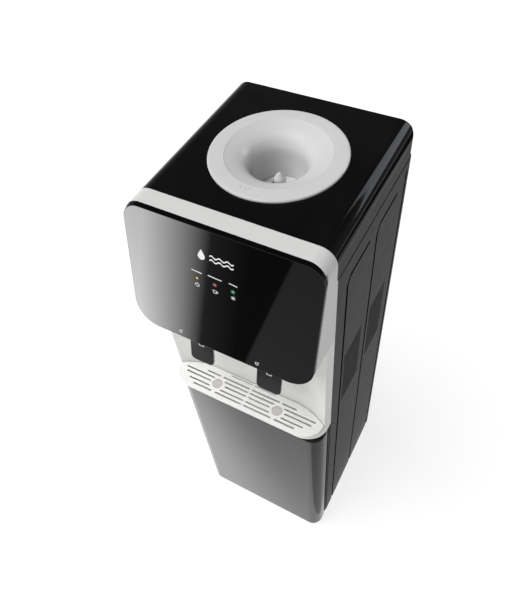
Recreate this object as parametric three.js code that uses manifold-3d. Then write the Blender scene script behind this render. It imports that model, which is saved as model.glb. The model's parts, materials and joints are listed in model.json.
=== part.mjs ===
// A floor-standing bottled-water dispenser: a bottle seat on top, hot and cold finger taps
// over a drip tray, and a storage cupboard below.
// Millimetres, +Z up, the front faces -Y. Heights are above the floor. Inside the cabinet
// group y = 0 is the front edge of the side panels.

import * as THREE from 'three';
import { mergeVertices } from 'three/addons/utils/BufferGeometryUtils.js';
import Module from 'manifold-3d';

const wasm = await Module();
wasm.setup();

// ---------------------------------------------------------------- driving dimensions

const HALF_WIDTH = 150;
const TOP = 970;
const GAP = 0.3;

const COVER = { front: -3, rear: 272, bottom: 915.5, wall: 3, edge: 25, corner: 10, hole: 87 };
const SIDE = { depth: 270, bottom: 17, top: 915, sheet: 2, lip: 11 };
const GROOVE = { half: 1.6, depth: 0.9 };
const GROOVE_PATHS = [
  [[35, 0], [35, 877], [114, 877]],
  [[143, 0], [143, 877], [222, 877]],
  [[257, 0], [257, 895]],
];
const VENT = { low: 515, count: 17, pitch: 9.1, height: 4.6, spans: [[45, 119], [155, 227]] };
const BASE = { bottom: 12, top: 16, half: 147.5, rear: 268 };
const FOOT = { x: 122, front: 20, rear: 248 };
const DOOR = { half: 149.5, bottom: 20.5, top: 497, face: -48.8, rear: -15, corner: 24, wall: 2.5 };
const HINGE = { x: -141, y: -24, stud: 3, hole: 3.5, plate: 3 };
const TRAY = { bottom: 505, rim: 544, top: 548, face: -66, foot: -49, corner: 38, wall: 3, back: -0.4 };
const BASIN = { taper: 6, draw: 13, wall: 2, floor: 513, gap: 0.7, clearance: 0.6 };
const GRILLE = { edge: 0.4, chamfer: 0.8, gap: 2.4, slot: 1.5 };
const SLOT_ROWS = [
  { y: -13.5, runs: [[2, 46]] },
  { y: -23, runs: [[2, 59.5], [64, 93.5]] },
  { y: -31, runs: [[2, 52], [73, 135]] },
  { y: -39.5, runs: [[2, 47], [77, 130]] },
  { y: -49, runs: [[2, 51], [74, 118]] },
  { y: -57, runs: [[2, 58], [65, 105]] },
];
const DISC = { x: 62.5, y: -40, radius: 9.2, recess: 545.2 };
const NICHE = { top: 784.7, wall: 3, back: -9, flat: 85, splay: 20 };
const HEAD = { bottom: 785, wall: 3, rim: 9, lip: 5.3, pocketTop: 956 };
const LINER = { half: 138, flange: 149, bottom: 16.6, top: 490, rear: 200, wall: 2.5, front: -5 };

// The control panel leans back: its face starts at (y, z) and rises along this tilt.
const PANEL = { tilt: THREE.MathUtils.degToRad(12.5), y: -82.4, z: 757.6, half: 151, length: 213.9 };
const PANEL_SKIN = { thickness: 5, top: 27, bottom: 40, flare: 4.5 };
const BACKING = { thickness: 3.5, inset: 3.5, frame: 20, top: 201, corner: 16 };
const LIGHTS = { height: 129.4, first: -34.1, pitch: 28.6, radius: 2.4, hole: 2.8, base: -14 };
const BOARD = { left: -50, right: 40, half: 11, thickness: 1.6 };

const SEAT = { y: 130, radius: 100, top: 974, throat: 39, bottom: 893, floor: 3 };
const SPIKE = { radius: 9, shoulder: 928, tip: 938, flange: 38, drains: 24 };

const TAP = { x: 63, y: -22, barrel: 10, bore: 7, low: 698, top: 748, nozzle: 668, inlet: 722, pipe: 6 };
const PIVOT = { y: -36, z: 756, pin: 1.5, hole: 1.8, barrel: 4.5, half: 8.4 };
const LEVER = { half: 22, bottom: 655, top: 742, face: -61, pad: 2.7, plate: 3.2, corner: 9, tilt: 12.5 };
const FORK = { low: 757.4, thickness: 3, half: 6.5, slot: 2.6 };
const SPRING = { low: 709, high: 741, turns: 5, radius: 4.2, wire: 0.6 };

const COLD = { radius: 70, bottom: 750, top: 888, wall: 1.5, jacket: 80, pipeX: 30, pipeY: -35 };
const PELTIER = { half: 20, low: 792, high: 832, thickness: 3.7 };
const SINK = { half: 45, low: 770, high: 854, root: 5, fins: 12, fin: 1 };
const HOT = { y: 110, radius: 42, bottom: 492, top: 610, wall: 1.5, stub: 628 };
const FAN = { z: 812, front: 242, rear: 262, half: 46, bore: 41, hub: 15, blades: 7 };
const TUBE = { radius: 4.5, end: 17 };
const POWER_BOARD = { back: -139, face: -137.4, front: 60, rear: 180, bottom: 620, top: 720 };
const SWITCHES = { x: 80, pitch: 24, z: 659, pivotY: 266, tilt: THREE.MathUtils.degToRad(8) };
const DRAIN = { x: 70, z: 530, pipe: 7, bore: 4.5, cap: 11, end: 284 };
const GLAND = { x: -100, z: 60, bore: 4, hole: 8 };

const MIDDLE_Y = (PANEL.y + DRAIN.end) / 2;

// ---------------------------------------------------------------- solids from geometries

// A closed solid from a three.js geometry: position only, welded, no slivers, faces out.
function solid(geometry) {
  const bare = geometry.index ? geometry.toNonIndexed() : geometry.clone();
  bare.deleteAttribute('normal');
  bare.deleteAttribute('uv');
  const welded = mergeVertices(bare, 1e-3);
  const corners = welded.index.array;
  const kept = [];
  for (let i = 0; i < corners.length; i += 3) {
    const [a, b, c] = [corners[i], corners[i + 1], corners[i + 2]];
    if (a !== b && b !== c && c !== a) kept.push(a, b, c);
  }
  const vertProperties = welded.attributes.position.array;
  const triVerts = new Uint32Array(kept);
  const made = new wasm.Manifold(new wasm.Mesh({ numProp: 3, vertProperties, triVerts }));
  if (made.volume() > 0) return made;
  for (let i = 0; i < kept.length; i += 3) triVerts.set([kept[i], kept[i + 2], kept[i + 1]], i);
  return new wasm.Manifold(new wasm.Mesh({ numProp: 3, vertProperties, triVerts }));
}

function geometryOf(made) {
  const { vertProperties, triVerts } = made.getMesh();
  const geometry = new THREE.BufferGeometry();
  geometry.setAttribute('position', new THREE.BufferAttribute(vertProperties, 3));
  geometry.setIndex(new THREE.BufferAttribute(triVerts, 1));
  geometry.computeVertexNormals();
  return geometry;
}

const join = (first, ...more) => more.reduce((body, extra) => body.add(extra), first);
const cut = (first, ...tools) => tools.reduce((body, tool) => body.subtract(tool), first);

// A box from its [low, high] span on each axis.
function block(x, y, z) {
  const box = new THREE.BoxGeometry(x[1] - x[0], y[1] - y[0], z[1] - z[0]);
  return solid(box.translate((x[0] + x[1]) / 2, (y[0] + y[1]) / 2, (z[0] + z[1]) / 2));
}

// A round bar or cone along an axis. centre holds the other two coordinates, in X, Y, Z order.
function rod(axis, centre, span, radius, endRadius = radius, sides = 24) {
  const length = span[1] - span[0];
  const bar = new THREE.CylinderGeometry(endRadius, radius, length, sides);
  const middle = (span[0] + span[1]) / 2;
  if (axis === 'x') return solid(bar.rotateZ(-Math.PI / 2).translate(middle, ...centre));
  if (axis === 'y') return solid(bar.translate(centre[0], middle, centre[1]));
  return solid(bar.rotateX(Math.PI / 2).translate(...centre, middle));
}

// An outline from [x, y, radius] corners, each rounded by an arc where the radius is not zero.
function outline(corners, steps = 6) {
  const points = [];
  corners.forEach(([x, y, radius], i) => {
    const here = new THREE.Vector2(x, y);
    if (!radius) {
      points.push(here);
      return;
    }
    const before = corners[(i + corners.length - 1) % corners.length];
    const after = corners[(i + 1) % corners.length];
    const back = new THREE.Vector2(before[0] - x, before[1] - y).normalize();
    const ahead = new THREE.Vector2(after[0] - x, after[1] - y).normalize();
    const half = Math.acos(THREE.MathUtils.clamp(back.dot(ahead), -1, 1)) / 2;
    const bisector = back.clone().add(ahead).normalize();
    const centre = here.clone().addScaledVector(bisector, radius / Math.sin(half));
    const start = here.clone().addScaledVector(back, radius / Math.tan(half)).sub(centre);
    const turn = (Math.PI - 2 * half) * Math.sign(ahead.cross(back));
    for (let k = 0; k <= steps; k++) {
      const spoke = start.clone().rotateAround(new THREE.Vector2(), (turn * k) / steps);
      points.push(spoke.add(centre));
    }
  });
  return points;
}

// An outline pushed along an axis: its own x, y are world x, y for 'z', x, z for 'y', y, z for 'x'.
// Its points are vectors or plain pairs.
function prism(axis, points, span, holes = []) {
  const shape = new THREE.Shape(points.map((p) => (Array.isArray(p) ? new THREE.Vector2(...p) : p)));
  shape.holes = holes.map((hole) => new THREE.Path(hole));
  const bar = new THREE.ExtrudeGeometry(shape, { depth: span[1] - span[0], bevelEnabled: false });
  const X = new THREE.Vector3(1, 0, 0);
  const Y = new THREE.Vector3(0, 1, 0);
  const Z = new THREE.Vector3(0, 0, 1);
  const turn = new THREE.Matrix4();
  if (axis === 'x') turn.makeBasis(Y, Z, X).setPosition(span[0], 0, 0);
  if (axis === 'y') turn.makeBasis(X, Z, Y.negate()).setPosition(0, span[1], 0);
  if (axis === 'z') turn.setPosition(0, 0, span[0]);
  return solid(bar.applyMatrix4(turn));
}

// A closed [radius, height] profile turned about the Z axis.
function turned(profile, sides = 28) {
  const points = profile.map(([radius, height]) => new THREE.Vector2(radius, height));
  return solid(new THREE.LatheGeometry(points, sides).rotateX(Math.PI / 2));
}

// A solid through outlines of equal point counts, each at its own height.
function loft(layers) {
  const count = layers[0].points.length;
  const vertices = layers.flatMap(({ points, z }) => points.flatMap((p) => [p.x, p.y, z]));
  const faces = [];
  for (let level = 0; level < layers.length - 1; level++) {
    for (let i = 0; i < count; i++) {
      const a = level * count + i;
      const b = level * count + ((i + 1) % count);
      faces.push(a, b, b + count, a, b + count, a + count);
    }
  }
  const lid = (layers.length - 1) * count;
  for (const [a, b, c] of THREE.ShapeUtils.triangulateShape(layers[0].points, [])) {
    faces.push(a, c, b);
  }
  for (const [a, b, c] of THREE.ShapeUtils.triangulateShape(layers.at(-1).points, [])) {
    faces.push(lid + a, lid + b, lid + c);
  }
  const geometry = new THREE.BufferGeometry();
  geometry.setAttribute('position', new THREE.Float32BufferAttribute(vertices, 3));
  geometry.setIndex(faces);
  return solid(geometry);
}

// A round bar or coil along a curve.
function tube(curve, radius, steps, sides) {
  const ring = new THREE.Shape();
  ring.absarc(0, 0, radius, 0, Math.PI * 2);
  const options = { steps, extrudePath: curve, curveSegments: sides / 2, bevelEnabled: false };
  return solid(new THREE.ExtrudeGeometry(new THREE.Shape(ring.getSpacedPoints(sides)), options));
}

function route(points) {
  return new THREE.CatmullRomCurve3(points.map((p) => new THREE.Vector3(...p)), false, 'centripetal');
}

// ---------------------------------------------------------------- finishes and placing

const FINISH = {
  gloss_black: { color: 0x0a0a0b, roughness: 0.12, metalness: 0 },
  dark_grey: { color: 0x3a3b3d, roughness: 0.5, metalness: 0.1 },
  white_plastic: { color: 0xe6e6e3, roughness: 0.35, metalness: 0 },
  warm_white: { color: 0xefeeea, roughness: 0.45, metalness: 0 },
  grille_disc: { color: 0xc9c4bc, roughness: 0.6, metalness: 0 },
  door_grey: { color: 0x2e2f31, roughness: 0.22, metalness: 0.1 },
  light_grey: { color: 0xb9bbbd, roughness: 0.5, metalness: 0 },
  rubber: { color: 0x161616, roughness: 0.9, metalness: 0 },
  silicone: { color: 0xd8dcd9, roughness: 0.5, metalness: 0 },
  steel: { color: 0xb8babd, roughness: 0.3, metalness: 1 },
  zinc: { color: 0x8f9296, roughness: 0.4, metalness: 0.9 },
  aluminium: { color: 0xc4c6c9, roughness: 0.35, metalness: 0.95 },
  foam: { color: 0x444648, roughness: 0.95, metalness: 0 },
  ceramic: { color: 0xf4f2ec, roughness: 0.6, metalness: 0 },
  circuit: { color: 0x1d5b34, roughness: 0.5, metalness: 0.1 },
  black_plastic: { color: 0x18191a, roughness: 0.5, metalness: 0 },
  amber_lens: { color: 0xe7b35a, roughness: 0.2, metalness: 0 },
  red_lens: { color: 0xe04a34, roughness: 0.2, metalness: 0 },
  green_lens: { color: 0x3ccf72, roughness: 0.2, metalness: 0 },
};

const dispenser = new THREE.Group();
const cabinet = new THREE.Group();
cabinet.position.y = -MIDDLE_Y;
dispenser.add(cabinet);

function place(name, made, finish, parent = cabinet) {
  const mesh = new THREE.Mesh(geometryOf(made), new THREE.MeshStandardMaterial(FINISH[finish]));
  mesh.name = name;
  parent.add(mesh);
  return mesh;
}

// ---------------------------------------------------------------- shared outlines

// A box section with its two upper corners rounded.
const hood = (half, bottom, top, radius, steps = 6) => outline([
  [-half, bottom, 0],
  [half, bottom, 0],
  [half, top, radius],
  [-half, top, radius],
], steps);

// The niche's back wall in plan: flat in the middle, sweeping forward to both sides.
const nicheY = (x) => {
  const past = Math.max(0, Math.abs(x) - NICHE.flat) / (HALF_WIDTH - NICHE.flat);
  return NICHE.back - NICHE.splay * past ** 2;
};

// Points along the niche wall from -half to +half, moved by shift in y.
function nicheLine(half, shift, steps = 6) {
  const stations = [];
  for (let k = 0; k <= steps; k++) stations.push(NICHE.flat + ((half - NICHE.flat) * k) / steps);
  const xs = [...stations.map((x) => -x).reverse(), ...stations];
  return xs.map((x) => new THREE.Vector2(x, nicheY(x) + shift));
}

// A tray-shaped outline: straight sides from the back, two large front corners.
const trayFront = (half, face, corner, back = 0) => outline([
  [-half, back, 0],
  [-half, face, corner],
  [half, face, corner],
  [half, back, 0],
]);

// The same front corners, closed at the back along the niche wall. depth runs from 0 at the
// tray's mouth to 1 at its floor, which is narrower and drawn back from the front.
function grillePlan(inset, shift, depth = 0) {
  const half = HALF_WIDTH - inset - BASIN.taper * depth;
  const drawn = inset + BASIN.draw * depth;
  const front = trayFront(half, TRAY.face + drawn, TRAY.corner - drawn, 0).slice(1, -1);
  const arcStart = TRAY.face + TRAY.corner + 0.1;
  const back = nicheLine(half, shift).map(({ x, y }) => new THREE.Vector2(x, Math.max(y, arcStart)));
  return [...front, ...back.reverse()];
}

// The panel's own frame: x across, y up its face, z out of it.
function panelFrame() {
  const frame = new THREE.Group();
  frame.position.set(0, PANEL.y, PANEL.z);
  frame.rotation.x = Math.PI / 2 - PANEL.tilt;
  cabinet.add(frame);
  return frame;
}

// y of the plane a distance behind the panel's face, measured along y, at a height.
const panelY = (z, behind = 0) => (
  PANEL.y + (z - PANEL.z) * Math.tan(PANEL.tilt) + behind / Math.cos(PANEL.tilt)
);

// ---------------------------------------------------------------- outer shell

function makeTopCover() {
  const { front, rear, bottom, wall, edge, corner, hole } = COVER;
  const plan = outline([
    [-HALF_WIDTH, front, 0],
    [HALF_WIDTH, front, 0],
    [HALF_WIDTH, rear, corner],
    [-HALF_WIDTH, rear, corner],
  ], 4);
  const outer = prism('y', hood(HALF_WIDTH, bottom, TOP, edge), [front, rear])
    .intersect(prism('z', plan, [bottom, TOP]));
  const inner = prism('y', hood(HALF_WIDTH - wall, bottom - 1, TOP - wall, edge - wall),
    [front - 1, rear - wall]);
  const seatHole = rod('z', [0, SEAT.y], [TOP - 10, TOP + 1], hole, hole, 48);
  place('top_cover', cut(outer, inner, seatHole), 'gloss_black');
}

function makeHeadHousing() {
  const { bottom, wall, rim, lip, pocketTop } = HEAD;
  const backLow = TRAY.back;
  const backHigh = COVER.front - GAP;
  const profile = [
    [backLow, bottom],
    [backLow, SIDE.top + 0.2],
    [backHigh, SIDE.top + 0.2],
    [backHigh, TOP],
    [panelY(TOP, lip), TOP],
    [panelY(pocketTop, lip), pocketTop],
    [panelY(pocketTop, rim), pocketTop],
    [panelY(bottom, rim), bottom],
  ];
  const hollow = [
    [1, bottom + wall],
    [1, TOP - wall],
    [panelY(TOP - wall, rim + wall), TOP - wall],
    [panelY(bottom + wall, rim + wall), bottom + wall],
  ];
  const outer = prism('x', profile, [-HALF_WIDTH, HALF_WIDTH])
    .intersect(prism('y', hood(HALF_WIDTH, bottom, TOP, COVER.edge), [-90, 10]));
  const inside = hood(HALF_WIDTH - wall, bottom + wall, TOP - wall, COVER.edge - wall);
  const inner = prism('x', hollow, [-HALF_WIDTH, HALF_WIDTH]).intersect(prism('y', inside, [-90, 10]));
  const lightZ = PANEL.z + LIGHTS.height * Math.cos(PANEL.tilt);
  const window = block([BOARD.left, BOARD.right], [-70, -20], [lightZ - 14, lightZ + 14]);
  place('head_housing', cut(outer, inner, window), 'white_plastic');
}

function makeNicheHousing() {
  const { top, wall } = NICHE;
  const inner = HALF_WIDTH - wall;
  const plan = [
    ...nicheLine(HALF_WIDTH, 0),
    [HALF_WIDTH, TRAY.back],
    [inner, TRAY.back],
    ...nicheLine(inner, wall).reverse(),
    [-inner, TRAY.back],
    [-HALF_WIDTH, TRAY.back],
  ];
  const inlets = [-TAP.x, TAP.x].map((x) => rod('y', [x, TAP.inlet], [-20, 5], TAP.pipe + 0.5));
  place('niche_housing', cut(prism('z', plan, [TRAY.rim, top]), ...inlets), 'warm_white');
}

function makeTrayHousing() {
  const { bottom, rim, face, foot, corner, wall, back } = TRAY;
  const shell = loft([
    { points: trayFront(HALF_WIDTH, foot, corner - 2, back), z: bottom },
    { points: trayFront(HALF_WIDTH, face + 1, corner, back), z: rim - 5 },
    { points: trayFront(HALF_WIDTH, face, corner, back), z: rim - GAP },
  ]);
  const mouth = grillePlan(wall, -BASIN.gap);
  const pocket = loft([
    { points: grillePlan(wall, -BASIN.gap, 1), z: BASIN.floor - 1 },
    { points: mouth, z: rim - 1 },
    { points: mouth, z: rim + 1 },
  ]);
  place('tray_housing', cut(shell, pocket), 'warm_white');
}

function makeFrontPanel() {
  const { half, length } = PANEL;
  const frame = panelFrame();
  // The back of the skin is taller than its face, so that its top edge slopes back to the head.
  const sheet = (top) => outline([
    [-half, 0, PANEL_SKIN.bottom],
    [half, 0, PANEL_SKIN.bottom],
    [half, top, PANEL_SKIN.top],
    [-half, top, PANEL_SKIN.top],
  ]);
  let skin = loft([
    { points: sheet(length + PANEL_SKIN.flare), z: -PANEL_SKIN.thickness },
    { points: sheet(length), z: 0 },
  ]);
  const { inset, frame: band, thickness } = BACKING;
  const behind = -PANEL_SKIN.thickness - GAP;
  const edge = half - inset;
  const outer = outline([
    [-edge, inset, PANEL_SKIN.bottom - inset],
    [edge, inset, PANEL_SKIN.bottom - inset],
    [edge, BACKING.top, BACKING.corner],
    [-edge, BACKING.top, BACKING.corner],
  ]);
  const opening = outline([
    [-edge + band, inset + band, 20],
    [-edge + band, BACKING.top - band, 10],
    [edge - band, BACKING.top - band, 10],
    [edge - band, inset + band, 20],
  ], 4);
  const ring = prism('z', outer, [behind - thickness, behind], [opening]);
  place('panel_backing', ring, 'dark_grey', frame);

  const lights = [
    ['led_power', 'amber_lens'],
    ['led_heating', 'red_lens'],
    ['led_cooling', 'green_lens'],
  ];
  const { height, base } = LIGHTS;
  lights.forEach(([name, finish], i) => {
    const x = LIGHTS.first + i * LIGHTS.pitch;
    skin = cut(skin, rod('z', [x, height], [-10, 5], LIGHTS.hole, LIGHTS.hole, 16));
    const stem = turned([[0, base], [LIGHTS.radius, base], [LIGHTS.radius, -0.6],
      [LIGHTS.radius * 0.75, 0.2], [0, 0.6]], 16);
    place(name, stem.translate(x, height, 0), finish, frame);
  });
  place('front_panel', skin, 'gloss_black', frame);
  const { left, right, half: boardHalf } = BOARD;
  const boardBack = base - GAP - BOARD.thickness;
  const board = block([left, right], [height - boardHalf, height + boardHalf], [boardBack, base - GAP]);
  const plug = block([right - 16, right - 2], [height - 6, height + 6], [boardBack - 6, boardBack + 1]);
  place('indicator_board', join(board, plug), 'circuit', frame);
}

// One pressed line in the outer face: [y, z] corners joined by straight grooves.
function groove(corners, side) {
  const { half, depth } = GROOVE;
  const x = side > 0 ? [HALF_WIDTH - depth, HALF_WIDTH + 1] : [-HALF_WIDTH - 1, -HALF_WIDTH + depth];
  const runs = corners.slice(1).map((end, i) => {
    const start = corners[i];
    const low = [Math.min(start[0], end[0]) - half, Math.min(start[1], end[1]) - half];
    const high = [Math.max(start[0], end[0]) + half, Math.max(start[1], end[1]) + half];
    return block(x, [low[0], high[0]], [low[1], high[1]]);
  });
  return join(...runs);
}

// A vent: a block of level slots, one above the other.
function vent([front, rear], side) {
  const { low, count, pitch, height } = VENT;
  const x = side > 0 ? [HALF_WIDTH - 6, HALF_WIDTH + 1] : [-HALF_WIDTH - 1, -HALF_WIDTH + 6];
  const slots = [];
  for (let k = 0; k < count; k++) {
    slots.push(block(x, [front, rear], [low + k * pitch, low + k * pitch + height]));
  }
  return slots;
}

function makeSidePanel(name, side) {
  const { depth, bottom, top, sheet, lip } = SIDE;
  const at = (x) => side * (HALF_WIDTH - x);
  const section = [
    [at(0), 0], [at(0), depth], [at(lip), depth], [at(lip), depth - sheet],
    [at(sheet), depth - sheet], [at(sheet), sheet], [at(lip), sheet], [at(lip), 0],
  ];
  const body = prism('z', section, [bottom, top]);
  const lines = GROOVE_PATHS.map((corners) => groove(corners, side));
  const vents = VENT.spans.flatMap((span) => vent(span, side));
  place(name, cut(body, ...lines, ...vents), 'dark_grey');
}

function makeRearPanel() {
  const { bottom, top } = SIDE;
  const through = [SIDE.depth - 5, SIDE.depth + 10];
  let sheet = block([-149, 149], [SIDE.depth + GAP, COVER.rear], [bottom, top]);
  const [rows, pitch, slotHalf] = [4, 9, 2.2];
  for (let row = -rows; row <= rows; row++) {
    const z = FAN.z + row * pitch;
    const half = Math.sqrt(FAN.bore ** 2 - (row * pitch) ** 2);
    sheet = cut(sheet, block([-half, half], through, [z - slotHalf, z + slotHalf]));
  }
  const { x, z } = SWITCHES;
  const switchHole = block([x - 24.5, x + 24.5], through, [z - 13.5, z + 13.5]);
  const glandHole = rod('y', [GLAND.x, GLAND.z], through, GLAND.hole);
  const drainHole = rod('y', [DRAIN.x, DRAIN.z], through, DRAIN.pipe + 0.5);
  place('rear_panel', cut(sheet, switchHole, glandHole, drainHole), 'dark_grey');
}

function makeBase() {
  const { bottom, top, half, rear } = BASE;
  place('base_plate', block([-half, half], [LINER.front, rear], [bottom, top]), 'zinc');
  const stem = bottom - GAP;
  const foot = turned([[0, 0], [13, 0], [14, 1], [14, 7], [10, 9], [10, stem], [0, stem]], 20);
  for (const [end, y] of [['front', FOOT.front], ['rear', FOOT.rear]]) {
    for (const [hand, x] of [['left', -FOOT.x], ['right', FOOT.x]]) {
      place(`foot_${end}_${hand}`, foot, 'rubber').position.set(x, y, 0);
    }
  }
}

// ---------------------------------------------------------------- cupboard

function makeStorageLiner() {
  const { half, bottom, top, rear, wall, front } = LINER;
  const tub = block([-half, half], [front, rear], [bottom, top]);
  const flange = block([-LINER.flange, LINER.flange], [front, -0.5], [bottom, DOOR.top]);
  const room = block([-half + wall, half - wall], [front - 1, rear - wall], [bottom + 8, top - wall]);
  place('storage_liner', cut(join(tub, flange), room), 'dark_grey');
}

function makeHinges() {
  const { x, y, stud, plate } = HINGE;
  const leaf = (low) => block([-148, -130], [-32, -6], [low, low + plate]);
  const lowLeaf = BASE.top + GAP;
  const legY = [LINER.front - 3.6, LINER.front - 1];
  const leg = block([-148, -130], legY, [BASE.bottom, lowLeaf + plate - GAP]);
  const lowStud = rod('z', [x, y], [lowLeaf + 1, 30], stud);
  place('hinge_bracket_bottom', join(leaf(lowLeaf), leg, lowStud), 'zinc');
  const highLeaf = TRAY.bottom - GAP - plate;
  const highStud = rod('z', [x, y], [488, highLeaf + 1], stud);
  place('hinge_bracket_top', join(leaf(highLeaf), highStud), 'zinc');
  place('magnet_catch', block([112, 140], [-11.6, LINER.front - GAP], [466, 480]), 'black_plastic');
}

function makeDoor() {
  const { half, bottom, top, face, rear, corner, wall } = DOOR;
  const plan = (inset, back) => trayFront(half - inset, face + inset, corner - inset, back);
  const skin = prism('z', plan(0, rear), [bottom, top]);
  const hollow = prism('z', plan(wall, rear + 1), [bottom + wall, top - wall]);
  const { x, y, hole } = HINGE;
  const studHole = rod('z', [x, y], [bottom - 10, top + 10], hole);
  place('door_panel', cut(skin, hollow, studHole), 'door_grey');
  const flange = block([-half + 0.2, half - 0.2], [rear + GAP, rear + 2.3], [bottom + 0.2, top - 0.2]);
  const plug = block([-half + 3.5, half - 3.5], [rear - 4, rear + 1], [bottom + 3, top - 3]);
  place('door_liner', join(flange, plug), 'light_grey');
}

// ---------------------------------------------------------------- drip tray

function makeDripTray() {
  const { rim, top, wall } = TRAY;
  const { clearance, floor, gap } = BASIN;
  const layers = (inset, low, mouth) => [
    { points: grillePlan(wall + inset, -gap - inset, 1), z: low },
    { points: grillePlan(wall + inset, -gap - inset), z: rim - 1 },
    { points: grillePlan(wall + inset, -gap - inset), z: mouth },
  ];
  const outer = loft(layers(clearance, floor, rim - GAP));
  const inner = loft(layers(clearance + BASIN.wall, floor + BASIN.wall, rim));
  place('drip_basin', cut(outer, inner), 'warm_white');

  const plan = (inset) => trayFront(HALF_WIDTH - inset, TRAY.face + inset, TRAY.corner - inset);
  const plate = loft([
    { points: plan(GRILLE.edge), z: rim },
    { points: plan(GRILLE.edge), z: top - GRILLE.chamfer },
    { points: plan(GRILLE.edge + GRILLE.chamfer), z: top },
  ]);
  const behindWall = [...nicheLine(HALF_WIDTH, -GRILLE.gap), [HALF_WIDTH, 1], [-HALF_WIDTH, 1]];
  const tools = [prism('z', behindWall, [rim - 1, top + 1]), ...slots()];
  for (const [name, x] of [['grille_disc_left', -DISC.x], ['grille_disc_right', DISC.x]]) {
    const { y, radius, recess } = DISC;
    tools.push(rod('z', [x, y], [recess, top + 1], radius + 0.4));
    place(name, rod('z', [x, y], [recess + GAP, top - GAP], radius), 'grille_disc');
  }
  place('drip_grille', cut(plate, ...tools), 'warm_white');
}

// Rows of slots, each mirrored about the middle rib and broken around the discs.
function slots() {
  const half = GRILLE.slot;
  const round = half - 0.1;
  const bars = [];
  for (const { y, runs } of SLOT_ROWS) {
    for (const [near, far] of runs) {
      for (const side of [-1, 1]) {
        const [low, high] = side > 0 ? [near, far] : [-far, -near];
        const bar = outline([[low, y - half, round], [high, y - half, round],
          [high, y + half, round], [low, y + half, round]], 2);
        bars.push(prism('z', bar, [TRAY.rim - 1, TRAY.top + 1]));
      }
    }
  }
  return bars;
}

// ---------------------------------------------------------------- bottle seat and tanks

function makeBottleSeat() {
  const { top, radius, throat, bottom } = SEAT;
  const bowl = [[78.5, top - 0.1], [77.5, top - 0.8], [70, 971.2], [60, 967.4], [52, 963],
    [46, 957], [42, 949.5], [throat + 1, 938], [throat, bottom + 3]];
  const outside = [[34, bottom + 3], [34, bottom], [throat + 3, bottom], [throat + 3.5, 936],
    [46, 950], [51, 957.5], [58, 963], [70, 967.5], [84, 967.5], [84, TOP + GAP]];
  const rim = [[radius, TOP + GAP], [radius, top - 2.2], [radius - 1.6, top - 0.6], [radius - 4, top]];
  const loop = [...bowl, ...outside, ...rim, [79.5, top], [78.5, top - 0.1]];
  place('bottle_seat', turned(loop, 36), 'white_plastic').position.y = SEAT.y;
}

function makeFeedSpike() {
  const { radius, shoulder, tip, flange, drains } = SPIKE;
  const floor = SEAT.bottom + SEAT.floor + GAP;
  const stalk = turned([[0, floor], [flange, floor], [flange, floor + 3], [radius + 2, floor + 3],
    [radius, floor + 8], [radius, shoulder - 8], [radius - 1, shoulder], [2.4, tip - 0.8], [0, tip]], 16);
  const bore = radius - 3;
  let body = cut(stalk, rod('z', [0, 0], [floor - 1, shoulder - 6], bore, bore, 12));
  const port = block([-2.2, 2.2], [-20, 20], [shoulder - 20, shoulder - 9]);
  body = cut(body, port, port.rotate([0, 0, 90]));
  for (let k = 0; k < 4; k++) {
    const drain = rod('z', [drains, 0], [floor - 1, floor + 4], 6, 6, 12);
    body = cut(body, drain.rotate([0, 0, 45 + 90 * k]));
  }
  place('feed_spike', body, 'white_plastic').position.y = SEAT.y;
}

function makeColdTank() {
  const { radius, bottom, top, wall, jacket, pipeX, pipeY } = COLD;
  const inner = radius - wall;
  const [low, high] = [PELTIER.low, PELTIER.high];
  const skin = turned([[0, bottom], [radius - 6, bottom], [radius, bottom + 6], [radius, top],
    [inner, top], [inner, bottom + 7], [radius - 7, bottom + wall], [0, bottom + wall]]);
  const coldBlock = block([-PELTIER.half, PELTIER.half], [radius - 4, radius + 6], [low, high]);
  const room = rod('z', [0, 0], [low - 12, high + 8], inner, inner, 32);
  const pipe = (size, end) => rod('z', [pipeX, pipeY], [bottom - 24, end], size, size, 16);
  const tank = cut(join(skin, cut(coldBlock, room), pipe(4.5, bottom + 1)), pipe(3, bottom + 5));
  place('cold_tank', tank, 'steel').position.y = SEAT.y;

  const lining = radius + 0.5;
  const foam = turned([[0, bottom - 12], [jacket, bottom - 12], [jacket, top + 2],
    [lining, top + 2], [lining, bottom + 5.4], [lining - 6, bottom - 0.6], [0, bottom - 0.6]]);
  const side = PELTIER.half + 1;
  const window = block([-side, side], [radius - 10, jacket + 20], [low - 1, high + 1]);
  place('tank_insulation', cut(foam, pipe(5.5, bottom + 5), window), 'foam').position.y = SEAT.y;
}

function makeCooler() {
  const face = SEAT.y + COLD.radius + 6 + GAP;
  const { half: moduleHalf, low, high, thickness } = PELTIER;
  const module = block([-moduleHalf, moduleHalf], [face, face + thickness], [low, high]);
  place('peltier_module', module, 'ceramic');
  const { half, root, fins, fin } = SINK;
  const start = face + thickness + GAP;
  const crest = FAN.front - 1;
  const comb = [[-half, start], [half, start]];
  const reach = half - fin;
  for (let k = fins - 1; k >= 0; k--) {
    const x = -reach + (2 * reach * k) / (fins - 1);
    comb.push([x + fin, start + root], [x + fin, crest], [x - fin, crest], [x - fin, start + root]);
  }
  place('heat_sink', prism('z', comb, [SINK.low, SINK.high]), 'aluminium');
}

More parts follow.
